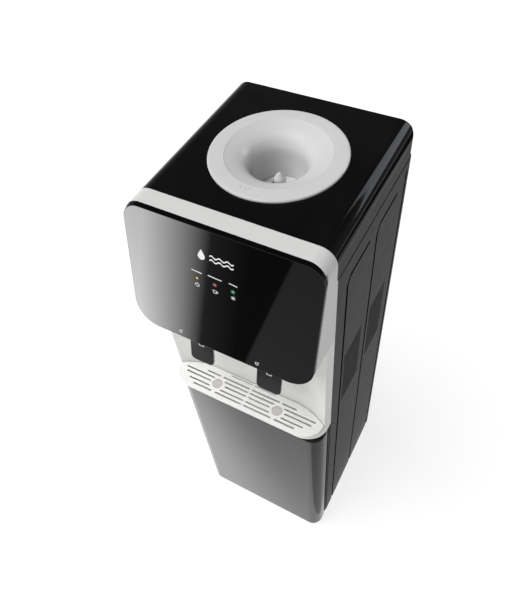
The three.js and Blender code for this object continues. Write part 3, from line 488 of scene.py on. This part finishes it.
def grille_plan(inset, shift, depth=0):
    """The tray's outline closed along the niche wall; depth is 0 at its mouth and 1 at its floor."""
    half = HALF - inset - BASIN["taper"] * depth
    drawn = inset + BASIN["draw"] * depth
    face, corner = TRAY["face"] + drawn, TRAY["corner"] - drawn
    corners = [(-half, 0, 0), (-half, face, corner), (half, face, corner), (half, 0, 0)]
    front = [tuple(point) for point in outline(corners, 18)[1:-1]]
    start = TRAY["face"] + TRAY["corner"] + 0.1
    back = [(x, max(y, start)) for x, y in niche_line(half, shift)]
    return front + back[::-1]


def panel_y(z, behind=0):
    return PANEL["y"] + (z - PANEL["z"]) * math.tan(PANEL["tilt"]) + behind / math.cos(PANEL["tilt"])


# From the panel's face (x across, y up the face, z out of it) to the cabinet's frame.
ON_PANEL = (Matrix.Translation((0, PANEL["y"], PANEL["z"]))
            @ Matrix.Rotation(math.pi / 2 - PANEL["tilt"], 4, "X"))

# ------------------------------------------------------------------ shell pieces


def make_cover():
    size = COVER
    section = hood(HALF, size["bottom"], TOP, size["edge"])
    shell = prism("cover_shell", "y", section, (size["front"], size["rear"]))
    plan = outline([(-HALF, size["front"], 0), (HALF, size["front"], 0), (HALF, size["rear"], size["corner"]),
                    (-HALF, size["rear"], size["corner"])], 10)
    combine(shell, "INTERSECT", prism("plan", "z", plan, (size["bottom"] - 5, TOP + 5)))
    wall = size["wall"]
    inside = prism("inside", "y", hood(HALF - wall, size["bottom"] - 5, TOP - wall, size["edge"] - wall),
                   (size["front"] - 5, size["rear"] - wall))
    cut(shell, inside, rod("hole", "z", (0, SEAT["y"]), (TOP - 12, TOP + 5), size["hole"], 96))
    soften(shell, 1.1, 3)
    skirt = TOP - size["edge"] + 0.5
    second_coat(shell, lambda centre, normal: abs(normal.x) > 0.98 and centre.z < skirt
                and abs(centre.x) > HALF - 1)
    mount(shell, "cabinet", "cover_black", (PAINT["cover_black"], PAINT["cabinet_grey"]), "top_cover")


def make_head():
    size = HEAD
    seam = COVER["front"] - 0.3
    profile = [(-0.4, size["bottom"]), (-0.4, SIDE["top"] + 0.2), (seam, SIDE["top"] + 0.2), (seam, TOP),
               (panel_y(TOP, size["lip"]), TOP),
               (panel_y(size["pocket_top"], size["lip"]), size["pocket_top"]),
               (panel_y(size["pocket_top"], size["rim"]), size["pocket_top"]),
               (panel_y(size["bottom"], size["rim"]), size["bottom"])]
    shell = prism("head_shell", "x", profile, (-HALF, HALF))
    outer = hood(HALF, size["bottom"] - 5, TOP, COVER["edge"])
    combine(shell, "INTERSECT", prism("hood", "y", outer, (-90, 10)))
    wall = size["wall"]
    hollow = [(4, size["bottom"] + wall), (4, TOP - wall),
              (panel_y(TOP - wall, size["rim"] + wall), TOP - wall),
              (panel_y(size["bottom"] + wall, size["rim"] + wall), size["bottom"] + wall)]
    core = prism("core", "x", hollow, (-HALF, HALF))
    section = hood(HALF - wall, size["bottom"] + wall, TOP - wall, COVER["edge"] - wall)
    combine(core, "INTERSECT", prism("section", "y", section, (-95, 15)))
    cut(shell, core)
    light_z = PANEL["z"] + LIGHTS["height"] * math.cos(PANEL["tilt"])
    cut(shell, block("window", (BOARD["left"], BOARD["right"]), (-70, -20), (light_z - 14, light_z + 14)))
    soften(shell, 1.0, 3)
    mount(shell, "cabinet", "head_white", PAINT["head_white"], "head_housing")


def make_niche():
    inner = HALF - NICHE["wall"]
    plan = (niche_line(HALF, 0) + [(HALF, -0.4), (inner, -0.4)] + niche_line(inner, NICHE["wall"])[::-1]
            + [(-inner, -0.4), (-HALF, -0.4)])
    wall = prism("niche_wall", "z", plan, (TRAY["rim"], NICHE["top"]))
    holes = [rod("tap_hole", "y", (side * TAP["x"], TAP["inlet"]), (-25, 10), TAP["hole"])
             for side in (-1, 1)]
    cut(wall, *holes)
    soften(wall, 0.6, 2)
    mount(wall, "cabinet", "tray_white", PAINT["tray_white"], "niche_housing")


def make_tray():
    tray, basin = TRAY, BASIN
    top = tray["rim"] - 0.3
    layers = [(tray_front(HALF - 1, tray["foot"] + 1, tray["corner"] - 3), tray["bottom"]),
              (tray_front(HALF, tray["foot"], tray["corner"] - 2), tray["bottom"] + 1)]
    for k in range(1, 7):
        share = k / 6
        bulge = share * 0.75 + 0.25 * math.sin(share * math.pi / 2)
        face = tray["foot"] + (tray["face"] + 1 - tray["foot"]) * bulge
        front = tray_front(HALF, face, tray["corner"] - 2 + 2 * share)
        layers.append((front, tray["bottom"] + 1 + 33 * share))
    layers.append((tray_front(HALF, tray["face"], tray["corner"]), top - 0.5))
    layers.append((tray_front(HALF - 0.5, tray["face"] + 0.5, tray["corner"] - 0.5), top))
    shell = loft("tray_shell", layers)
    mouth = grille_plan(tray["wall"], -basin["gap"])
    pocket = [(grille_plan(tray["wall"], -basin["gap"], 1), basin["floor"] - 1), (mouth, tray["rim"] - 1),
              (mouth, tray["rim"] + 1)]
    cut(shell, loft("pocket", pocket))
    soften(shell, 0, angle=40)
    mount(shell, "cabinet", "tray_white", PAINT["tray_white"], "tray_housing")


SLOT_ROWS = (
    (-13.5, ((2, 46),)),
    (-23, ((2, 59.5), (64, 93.5))),
    (-31, ((2, 52), (73, 135))),
    (-39.5, ((2, 47), (77, 130))),
    (-49, ((2, 51), (74, 118))),
    (-57, ((2, 58), (65, 105))),
)


def make_grille():
    rim, top, edge = TRAY["rim"], TRAY["top"], GRILLE["edge"]
    layers = []
    for inset, z in ((0.4, rim), (0, rim + 0.4), (0, top - 1.2), (0.16, top - 0.6), (0.6, top - 0.16),
                     (1.2, top)):
        inset += edge
        layers.append((tray_front(HALF - inset, TRAY["face"] + inset, TRAY["corner"] - inset, 0), z))
    plate = loft("grille_plate", layers)
    back = niche_line(HALF + 2, -GRILLE["gap"]) + [(HALF + 2, 5), (-HALF - 2, 5)]
    tools = [prism("niche_side", "z", back, (rim - 3, top + 3))]
    for y, runs in SLOT_ROWS:
        half = GRILLE["rear_slot"] if y > -20 else GRILLE["slot"]
        for near, far in runs:
            for side in (-1, 1):
                low, high = sorted((side * near, side * far))
                corners = [(low, y - half, half - 0.01), (high, y - half, half - 0.01),
                           (high, y + half, half - 0.01), (low, y + half, half - 0.01)]
                tools.append(prism("slot", "z", outline(corners, 5), (rim - 3, top + 3)))
    for side in (-1, 1):
        seat = (DISC["recess"], top + 3)
        tools.append(rod("seat", "z", (side * DISC["x"], DISC["y"]), seat, DISC["radius"] + 0.4))
    cut(plate, *tools)
    soften(plate, 0.35, 2, 50)
    # Painted light: the upright faces among the slots take the paler paint, so that the slots read bright
    # instead of shaded.
    second_coat(plate, lambda centre, normal: abs(normal.z) < 0.5 and rim + 0.3 < centre.z < top - 0.5
                and abs(centre.x) < 136 and -59.5 < centre.y < -11.5)
    mount(plate, "drip_grille", "tray_white", (PAINT["tray_white"], SLOT_PAINTED_LIGHT), "drip_grille")
    for side, node in ((-1, "grille_disc_left"), (1, "grille_disc_right")):
        base, crown, radius = DISC["recess"] + 0.3, top - 0.3, DISC["radius"]
        profile = [(0, base), (radius, base), (radius, crown - 0.5), (radius - 0.4, crown - 0.1),
                   (6.4, crown), (6.0, crown - 0.2), (3.2, crown - 0.2), (2.8, crown), (0, crown)]
        disc = turned(node + "_pad", profile, 64, (side * DISC["x"], DISC["y"]))
        soften(disc, 0, angle=50)
        mount(disc, "drip_grille", "disc_beige", PAINT["disc_beige"], node)


def make_panel():
    size = PANEL

    def face(inset, flare):
        half, low, high = size["half"] - inset, inset, size["length"] + flare - inset
        return outline([(-half, low, size["bottom"] - inset), (half, low, size["bottom"] - inset),
                        (half, high, size["top"] - inset), (-half, high, size["top"] - inset)], 24)

    edge = ((0.4, -size["thick"]), (0, 0.4 - size["thick"]), (0, -0.8), (0.06, -0.49), (0.23, -0.23),
            (0.49, -0.06), (0.8, 0))
    skin = loft("panel_skin", [(face(inset, -z * size["flare"] / size["thick"]), z) for inset, z in edge])
    spots = [LIGHTS["first"] + i * LIGHTS["pitch"] for i in range(3)]
    cut(skin, *[rod("hole", "z", (x, LIGHTS["height"]), (-10, 5), LIGHTS["hole"], 32) for x in spots])
    soften(skin, 0, angle=26)
    skin.data.transform(ON_PANEL)
    mount(skin, "cabinet", "panel_black", PAINT["panel_black"], "front_panel")
    lamps = (("led_power", "amber_lens"), ("led_heating", "red_lens"), ("led_cooling", "green_lens"))
    for x, (node, slot) in zip(spots, lamps):
        dome = [(0, -14), (2.4, -14), (2.4, -0.6)]
        angles = [math.radians(15 * k) for k in range(1, 6)]
        dome += [(2.4 * math.cos(angle), -0.6 + 1.4 * math.sin(angle)) for angle in angles]
        lamp = turned(node + "_lens", dome + [(0, 0.8)], 32, (x, LIGHTS["height"]))
        soften(lamp, 0, angle=50)
        lamp.data.transform(ON_PANEL)
        mount(lamp, "cabinet", slot, PAINT[slot], node)
        ring = [(2.5, 0.02), (2.5, 0.3), (2.7, 0.45), (3.3, 0.45), (3.6, 0.25), (3.6, 0.02)]
        bezel = turned(node + "_bezel", ring, 48, (x, LIGHTS["height"]), True)
        soften(bezel, 0, angle=50)
        bezel.data.transform(ON_PANEL)
        mount(bezel, "cabinet", "black_plastic", PAINT["black_plastic"])
    make_panel_prints(spots)


def make_panel_prints(spots):
    """Printed marks: a drop over two waves, a bar over each light, its symbol under it, tap marks."""
    drop = [(-25.6, 181.5)] + [(-25.6 + 5.6 * math.cos(a), 170 + 5.6 * math.sin(a))
                              for a in [math.radians(150 + 240 * k / 20) for k in range(21)]]
    shapes = [drop, wave(-13, 37, 174.6, 1.6, 2.2), wave(-13, 37, 168.2, 1.6, 2.2)]
    high = LIGHTS["height"]
    for x, half in zip(spots, (8.2, 10.8, 6.3)):
        shapes.append(bar((x - half, high + 12.2), (x + half, high + 11), 1.5))
    x, z = spots[0], high - 11.4
    shapes += [arc((x, z), 2.9, 0.9, 125, 415), bar((x, z + 0.4), (x, z + 3.9), 0.9)]
    x, z = spots[1], high - 12
    shapes += [bar((x - 3.6, z + 1.8), (x + 3.2, z + 1.8), 0.9),
               bar((x - 3, z + 1.8), (x - 2.4, z - 2.6), 0.9),
               bar((x + 2.6, z + 1.8), (x + 2, z - 2.6), 0.9),
               bar((x - 2.6, z - 2.4), (x + 2.2, z - 2.4), 0.9),
               arc((x + 3, z), 1.6, 0.8, -80, 80)]
    x, z = spots[2], high - 11
    for k in range(3):
        reach = Vector((3.4 * math.cos(math.radians(30 + 60 * k)), 3.4 * math.sin(math.radians(30 + 60 * k))))
        shapes.append(bar(Vector((x, z)) - reach, Vector((x, z)) + reach, 0.9))
    for x in (-69, 63):
        shapes += [arc((x, 11), 2.5, 1.1, 100, 350), bar((x + 0.4, 11.6), (x + 3.4, 14.2), 1.1)]
    marks = flat_shapes("panel_prints", shapes, 0.02, 0.1, ON_PANEL)
    mount(marks, "cabinet", "head_white", PRINT_WHITE)


GROOVE = dict(half=3.1, depth=1.5)
SEAM = dict(depth=1.5, height=3)
GROOVE_PATHS = (
    ((35, 0), (35, 863), (45, 877), (114, 877)),
    ((143, 0), (143, 863), (153, 877), (222, 877)),
    ((257, 0), (257, 895)),
)


def make_side(side):
    size = SIDE
    x = [side * (HALF - inset) for inset in (0, size["sheet"], size["lip"])]
    section = [(x[0], 0), (x[0], size["depth"]), (x[2], size["depth"]), (x[2], size["depth"] - size["sheet"]),
               (x[1], size["depth"] - size["sheet"]), (x[1], size["sheet"]), (x[2], size["sheet"]), (x[2], 0)]
    node = "side_panel_right" if side > 0 else "side_panel_left"
    sheet = prism(node + "_sheet", "z", section, (size["bottom"], size["top"]))
    soften(sheet, 0.5, 2)
    tools = [groove(path, side) for path in GROOVE_PATHS]
    low = size["top"] - SEAM["height"]
    seam = [(side * (HALF - SEAM["depth"]), size["top"] + 0.5), (side * (HALF + 1), size["top"] + 0.5),
            (side * (HALF + 1), low), (side * HALF, low)]
    tools.append(prism("seam", "y", seam, (3, size["depth"] - 3)))
    out = sorted((side * (HALF - 6), side * (HALF + 3)))
    for front, rear in VENT["spans"]:
        for k in range(VENT["count"]):
            low = VENT["low"] + k * VENT["pitch"]
            high = low + VENT["height"]
            corners = [(front, low, 1.5), (rear, low, 1.5), (rear, high, 1.5), (front, high, 1.5)]
            tools.append(prism("slot", "x", outline(corners, 3), out))
    cut(sheet, *tools)
    inner, outer = HALF - size["sheet"] + 0.1, HALF - 0.1
    # Painted shade: faces inside the sheet's thickness, the walls and floors of the grooves, vent slots and
    # top seam, take the near-black paint.
    second_coat(sheet, lambda centre, normal: inner < side * centre.x < outer
                and 3 < centre.y < size["depth"] - 3 and size["bottom"] + 1 < centre.z < size["top"] - 1)
    sheet.data.shade_flat()
    mount(sheet, "cabinet", "cabinet_grey", (PAINT["cabinet_grey"], RECESS_PAINTED_SHADE), node)


def groove(path, side):
    """A square tool along a (y, z) path, as deep as the pressed line, on a side panel's outer face."""
    half, rise = GROOVE["half"], HALF + 1
    left, right = [], []
    for i, spot in enumerate(path):
        here = Vector(spot)
        before = (here - Vector(path[i - 1])).normalized() if i else None
        after = (Vector(path[i + 1]) - here).normalized() if i + 1 < len(path) else None
        along = ((before or after) + (after or before)).normalized()
        across = Vector((-along.y, along.x))
        reach = half / max(0.5, across.dot(Vector((-(after or before).y, (after or before).x))))
        left.append(here + across * reach)
        right.append(here - across * reach)
    loop = left + right[::-1]
    return prism("groove", "x", loop, sorted((side * (HALF - GROOVE["depth"]), side * rise)))


def make_door():
    size = DOOR

    def plan(inset, back):
        half = 149.5 - inset
        face, corner = size["face"] + inset, size["corner"] - inset
        return outline([(-half, back, 0), (-half, face, corner), (half, face, corner), (half, back, 0)], 20)

    skin = prism("door_skin", "z", plan(0, size["rear"]), (size["bottom"], size["top"]))
    inside = (size["bottom"] + size["wall"], size["top"] - size["wall"])
    hollow = prism("hollow", "z", plan(size["wall"], size["rear"] + 5), inside)
    cut(skin, hollow, rod("pin", "z", (HINGE["x"], HINGE["y"]), (10, 510), HINGE["hole"], 32))
    soften(skin, 1.6, 4)
    mount(skin, "door", "door_grey", PAINT["door_grey"], "door_panel")


def make_seat():
    size = SEAT
    top = size["top"]
    mouth = [(96, top), (79.6, top), (78.9, top - 0.5), (78.1, top - 0.5), (77.4, top - 0.1)]
    slope = [(75, 972.7), (70, 971.2), (65, 969.4), (60, 967.4), (56, 965.4), (52, 962.9), (49, 960.2),
             (46.4, 957), (44, 953), (42.2, 949), (41, 944.5), (40.2, 938), (39.4, 925),
             (size["throat"], 905), (size["throat"], size["bottom"] + 3)]
    under = [(34, size["bottom"] + 3), (34, size["bottom"]), (42, size["bottom"]), (42.5, 936), (46, 950),
             (51, 957.5), (58, 963), (70, 967.5), (84, 967.5), (84, TOP + 0.3)]
    rim = [(100, TOP + 0.3), (100, top - 2.4), (99.7, top - 1.5), (99, top - 0.7), (98, top - 0.2)]
    ring = turned("seat_ring", mouth + slope + under + rim, 128, (0, size["y"]), True)
    tools = []
    for k in range(5):
        angle = math.radians(265 + 2.6 * (k - 2))
        reach = 84 + (2.2 if k % 2 else -1.2)
        spot = (reach * math.cos(angle), size["y"] + reach * math.sin(angle))
        tools.append(rod("hole", "z", spot, (top - 1.2, top + 2), 0.8, 12))
    cut(ring, *tools)
    soften(ring, 0, angle=40)
    mount(ring, "bottle_seat", "seat_white", PAINT["seat_white"], "bottle_seat")
    head = [(87 * math.cos(a) + side * math.cos(a), 87 * math.sin(a) + side * math.sin(a))
            for a, side in ((math.radians(108), -3), (math.radians(112.5), 0), (math.radians(108), 3))]
    on_top = Matrix.Translation((0, size["y"], top))
    arrow = flat_shapes("seat_arrow", [arc((0, 0), 87, 1.6, 97, 108.2), head], -0.1, 0.25, on_top)
    mount(arrow, "bottle_seat", "seat_white", PAINT["seat_white"])


def make_spike():
    floor = SEAT["bottom"] + 3.3
    profile = [(0, floor), (38, floor), (38, floor + 2.6), (37.6, floor + 3), (13, floor + 3),
               (10.4, floor + 5), (9, floor + 9), (9, 925.5), (8.6, 927.5)]
    stalk = turned("spike_stalk", profile + [(0, 927.5)], 48, (0, SEAT["y"]))
    drains = []
    for k in range(4):
        angle = math.radians(45 + 90 * k)
        spot = (24 * math.cos(angle), SEAT["y"] + 24 * math.sin(angle))
        drains.append(rod("drain", "z", spot, (floor - 2, floor + 6), 6, 24))
    for axis in ("x", "y"):
        centre = (SEAT["y"], 913) if axis == "x" else (0, 913)
        span = (-20, 20) if axis == "x" else (SEAT["y"] - 20, SEAT["y"] + 20)
        drains.append(rod("port", axis, centre, span, 2.6, 16))
    cut(stalk, *drains)
    soften(stalk, 0.3, 2)
    mount(stalk, "bottle_seat", "seat_white", PAINT["seat_white"], "feed_spike")
    point = [(0, 927.6), (8.6, 927.6), (8.2, 929), (4.6, 934.4), (1.2, 937.6), (0, 937.9)]
    tip = turned("spike_tip", point, 8, (0, SEAT["y"]))
    soften(tip, 0.35, 3, 20)
    mount(tip, "bottle_seat", "seat_white", PAINT["seat_white"])


def make_levers():
    size = LEVER
    lean = (Matrix.Translation((0, size["face"], size["bottom"]))
            @ Matrix.Rotation(math.radians(-size["tilt"]), 4, "X"))
    length = size["top"] - size["bottom"]
    for name, x in (("hot", -TAP["x"]), ("cold", TAP["x"])):
        corners = [(x - size["half"], 0, size["corner"]), (x + size["half"], 0, size["corner"]),
                   (x + size["half"], length, 2), (x - size["half"], length, 2)]
        pad = prism(f"{name}_key", "y", outline(corners, 12), (0, size["pad"]))
        soften(pad, 0.7, 3)
        pad.data.transform(lean)
        mount(pad, f"{name}_lever", "key_black", PAINT["key_black"], f"{name}_lever_pad")
        low, high, width = 39, 47, 1.5
        cup = [bar((x - 4.5, high), (x - 4, low), width), bar((x + 4.5, high), (x + 4, low), width),
               bar((x - 4.6, low), (x + 4.6, low), width)]
        upright = lean @ Matrix.Rotation(math.pi / 2, 4, "X")
        marks = flat_shapes(f"{name}_cup_mark", cup, 0.02, 0.12, upright)
        mount(marks, f"{name}_lever", "head_white", PRINT_WHITE)


def refined(node, slot, width=0.5, angle=32, paint=None):
    """A copy of a CAD node with its flat faces merged and its sharp edges rounded."""
    source = frame["nodes"][node]
    copy = bpy.data.objects.new(node + "_fine", source.data.copy())
    bpy.context.scene.collection.objects.link(copy)
    copy.data.transform(TO_ROW.inverted())
    weld = copy.modifiers.new("weld", "WELD")
    weld.merge_threshold = 0.02
    flat = copy.modifiers.new("flat", "DECIMATE")
    flat.decimate_type = "DISSOLVE"
    flat.angle_limit = math.radians(1.5)
    bake(copy)
    soften(copy, width, 2, angle)
    body = next(name for name, members in frame["record"]["behaviour"]["bodies"].items() if node in members)
    return mount(copy, body, slot, paint or PAINT[slot], node)


# ------------------------------------------------------------------ build

make_cover()
make_head()
make_niche()
make_tray()
make_grille()
make_panel()
make_side(-1)
make_side(1)
make_door()
make_seat()
make_spike()
make_levers()

SLOT_OF = {part["node"]: part["material_slot"] for part in frame["record"]["subparts"]}
REMADE = {node for piece in bpy.context.scene.objects for node in piece.get("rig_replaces", [])}
FACETED = {"hot_valve_spring", "cold_valve_spring", "hot_water_tube", "cold_water_tube",
           "rear_panel"}
for node, source in frame["nodes"].items():
    if node in REMADE:
        continue
    if node in FACETED:
        source.data.materials.clear()
        source.data.materials.append(PAINT[SLOT_OF[node]])
        continue
    refined(node, SLOT_OF[node])

# ------------------------------------------------------------------ studio


def node_of(tree, kind, **values):
    """A node with its numbered or named inputs set, or linked where a value is a socket."""
    made = tree.nodes.new("ShaderNode" + kind)
    for name, value in values.items():
        socket = made.inputs[int(name[1:])] if name[1:].isdigit() else made.inputs[name.replace("_", " ")]
        if isinstance(value, bpy.types.NodeSocket):
            tree.links.new(value, socket)
        else:
            socket.default_value = value
    return made


def ramp(tree, source, start, end, low, high):
    """Goes evenly from low to high as the source goes from start to end, and stays there."""
    made = node_of(tree, "MapRange", Value=source, From_Min=start, From_Max=end, To_Min=low, To_Max=high)
    return made.outputs["Result"]


def math_of(tree, operation, first, second):
    made = tree.nodes.new("ShaderNodeMath")
    made.operation = operation
    for socket, value in zip(made.inputs, (first, second)):
        if isinstance(value, bpy.types.NodeSocket):
            tree.links.new(value, socket)
        else:
            socket.default_value = value
    return made.outputs[0]


def stage_paint(name):
    """An empty material tree, its output and the object's x, y and z in metres."""
    paint = bpy.data.materials.new(name)
    paint.use_nodes = True
    tree = paint.node_tree
    tree.nodes.clear()
    output = tree.nodes.new("ShaderNodeOutputMaterial")
    split = node_of(tree, "SeparateXYZ", Vector=tree.nodes.new("ShaderNodeTexCoord").outputs["Object"])
    return paint, tree, output, split.outputs


def reflector(name, corners, build):
    """A glowing board that only mirror-like surfaces see. build gives its strength from x, y, z."""
    board = new_piece(name, corners, [(0, 1, 2, 3)])
    board.data.transform(TO_ROW)
    paint, tree, output, (x, y, z) = stage_paint(name)
    strength, colour, clear = build(tree, x, y, z)
    glow = node_of(tree, "Emission", Color=(*colour, 1), Strength=strength).outputs[0]
    if clear:
        through = tree.nodes.new("ShaderNodeBsdfTransparent").outputs[0]
        glow = node_of(tree, "AddShader", _0=glow, _1=through).outputs[0]
    tree.links.new(glow, output.inputs["Surface"])
    board.data.materials.append(paint)
    board.visible_camera = False
    board.visible_diffuse = False
    board.visible_shadow = False
    board.visible_transmission = False


def level_reflector(name, place, build):
    """A reflector that lies level, from its four sides and its height."""
    corners = [(place[x], place[y], place["z"]) for x, y in (("left", "front"), ("right", "front"),
                                                             ("right", "back"), ("left", "back"))]
    reflector(name, corners, build)


# The floor: a grey sheet that glows, so that it looks white and shadows on it stay soft and pale.
floor = new_piece("studio_floor", [(-30, -30, 0), (30, -30, 0), (30, 30, 0), (-30, 30, 0)], [(0, 1, 2, 3)])
floor.data.materials.append(moulded("studio_floor", (0.26, 0.26, 0.26), 0.6, 0.05, 0.005, 30, 0.01,
                                    Emission_Color=(1, 1, 1, 1), Emission_Strength=0.8,
                                    Specular_IOR_Level=0.1))

# In front of the panel: bright at its left, fading out, then a faint board past a leaning edge.
CARD = dict(y=-900, left=-1000, right=100, low=3, high=610, bright=8.2, start=-770, end=-502,
            tail=0.2, tail_end=0.04, tail_reach=140)
WEDGE = dict(foot_x=-321, foot_z=105, top_x=-226, top_z=480, glow=0.28)


def panel_board(tree, x, y, z):
    fade = ramp(tree, x, CARD["start"] / 1000, CARD["end"] / 1000, CARD["bright"], 0.0)
    tail_end = (CARD["end"] + CARD["tail_reach"]) / 1000
    tail = ramp(tree, x, CARD["end"] / 1000, tail_end, CARD["tail"], CARD["tail_end"])
    fade = math_of(tree, "ADD", fade, tail)
    lean = (WEDGE["top_x"] - WEDGE["foot_x"]) / (WEDGE["top_z"] - WEDGE["foot_z"])
    past = math_of(tree, "SUBTRACT", x, math_of(tree, "MULTIPLY", z, lean))
    edge = (WEDGE["foot_x"] - WEDGE["foot_z"] * lean) / 1000
    wedge = ramp(tree, past, edge - 0.003, edge + 0.003, 0.0, WEDGE["glow"])
    return math_of(tree, "ADD", fade, wedge), (0.985, 1, 0.985), False


reflector("panel_reflector", [(CARD[x], CARD["y"], CARD[z]) for x, z in (("left", "low"), ("right", "low"),
                                                                       ("right", "high"), ("left", "high"))],
          panel_board)

# On the floor before the door: adds light that fades along a slanted line, seen by the door.
MAT = dict(left=-700, right=400, front=-420, back=-52, z=2, slant=1.625, start=0, end=250,
           dim=-65, full=-233, full_glow=1.9, dim_glow=0.75, softness=1.5)


def door_mat(tree, x, y, z):
    slanted = math_of(tree, "SUBTRACT", x, math_of(tree, "MULTIPLY", y, MAT["slant"]))
    shift = -FRONT_EDGE * MAT["slant"]
    fade = ramp(tree, slanted, MAT["start"] / 1000 + shift, MAT["end"] / 1000 + shift, 1.0, 0.0)
    full, dim = (FRONT_EDGE + MAT[key] / 1000 for key in ("full", "dim"))
    reach = ramp(tree, y, full, dim, MAT["full_glow"], MAT["dim_glow"])
    softer = math_of(tree, "POWER", fade, MAT["softness"])
    return math_of(tree, "MULTIPLY", softer, reach), (1, 1, 1), True


level_reflector("door_reflector", MAT, door_mat)

# On the floor to the right: a grey sheet that darkens away to the rear, mirrored by the right side.
SHEET = dict(left=170, right=5000, front=-600, back=25000, z=1, near=0.5, far=0.02, start=1550, end=1950)


def side_sheet(tree, x, y, z):
    start, end = (SHEET[key] / 1000 + FRONT_EDGE for key in ("start", "end"))
    return ramp(tree, y, start, end, SHEET["near"], SHEET["far"]), (1, 1, 1), False


level_reflector("side_reflector", SHEET, side_sheet)

# Behind and to the right: a narrow board that draws the tapering light on the cover's edge.


def towards(azimuth, elevation, reach=3000, height=950):
    """A point at a reach from the cover: azimuth 0 is straight behind, 90 the right."""
    across, up = math.radians(azimuth), math.radians(elevation)
    level = reach * math.cos(up)
    return (level * math.sin(across), level * math.cos(across), height + reach * math.sin(up))


EDGE_GLOW = 4.0
reflector("edge_reflector", [towards(18, 16), towards(18, 45), towards(46, 16), towards(46, 13)],
          lambda tree, x, y, z: (EDGE_GLOW, (0.88, 0.93, 1.0), False))

SUN = dict(strength=3.4, spread=50, direction=(0.35, 0.35, -0.87))
sun = bpy.data.lights.new("key", "SUN")
sun.energy = SUN["strength"]
sun.angle = math.radians(SUN["spread"])
key = bpy.data.objects.new("key", sun)
key.visible_glossy = False
bpy.context.scene.collection.objects.link(key)
key.rotation_euler = Vector(SUN["direction"]).to_track_quat("-Z", "Y").to_euler()

# A pale horizon that darkens overhead.
SKY = dict(start=0.3, end=0.66, horizon=0.32, overhead=0.05)
world = bpy.data.worlds.new("studio")
bpy.context.scene.world = world
world.use_nodes = True
tree = world.node_tree
direction = tree.nodes.new("ShaderNodeTexCoord").outputs["Generated"]
height = node_of(tree, "SeparateXYZ", Vector=direction).outputs["Z"]
strength = ramp(tree, height, SKY["start"], SKY["end"], SKY["horizon"], SKY["overhead"])
tree.links.new(strength, tree.nodes["Background"].inputs["Strength"])
tree.nodes["Background"].inputs["Color"].default_value = (1, 1, 1, 1)

CAMERA = dict(lens=34.31, sensor=36, place=(0.320, -0.4326, 1.4749), forward=(-0.33589, 0.51412, -0.78921),
              roll=-6.19)
camera = bpy.data.objects.new("camera", bpy.data.cameras.new("camera"))
bpy.context.scene.collection.objects.link(camera)
camera.data.lens = CAMERA["lens"]
camera.data.sensor_width = CAMERA["sensor"]
x, y, z = CAMERA["place"]
camera.location = (x, y + FRONT_EDGE, z)
camera.rotation_mode = "QUATERNION"
level = Vector(CAMERA["forward"]).to_track_quat("-Z", "Y")
camera.rotation_quaternion = level @ Matrix.Rotation(math.radians(CAMERA["roll"]), 4, "Z").to_quaternion()
bpy.context.scene.camera = camera
bpy.context.scene.view_settings.view_transform = "Standard"
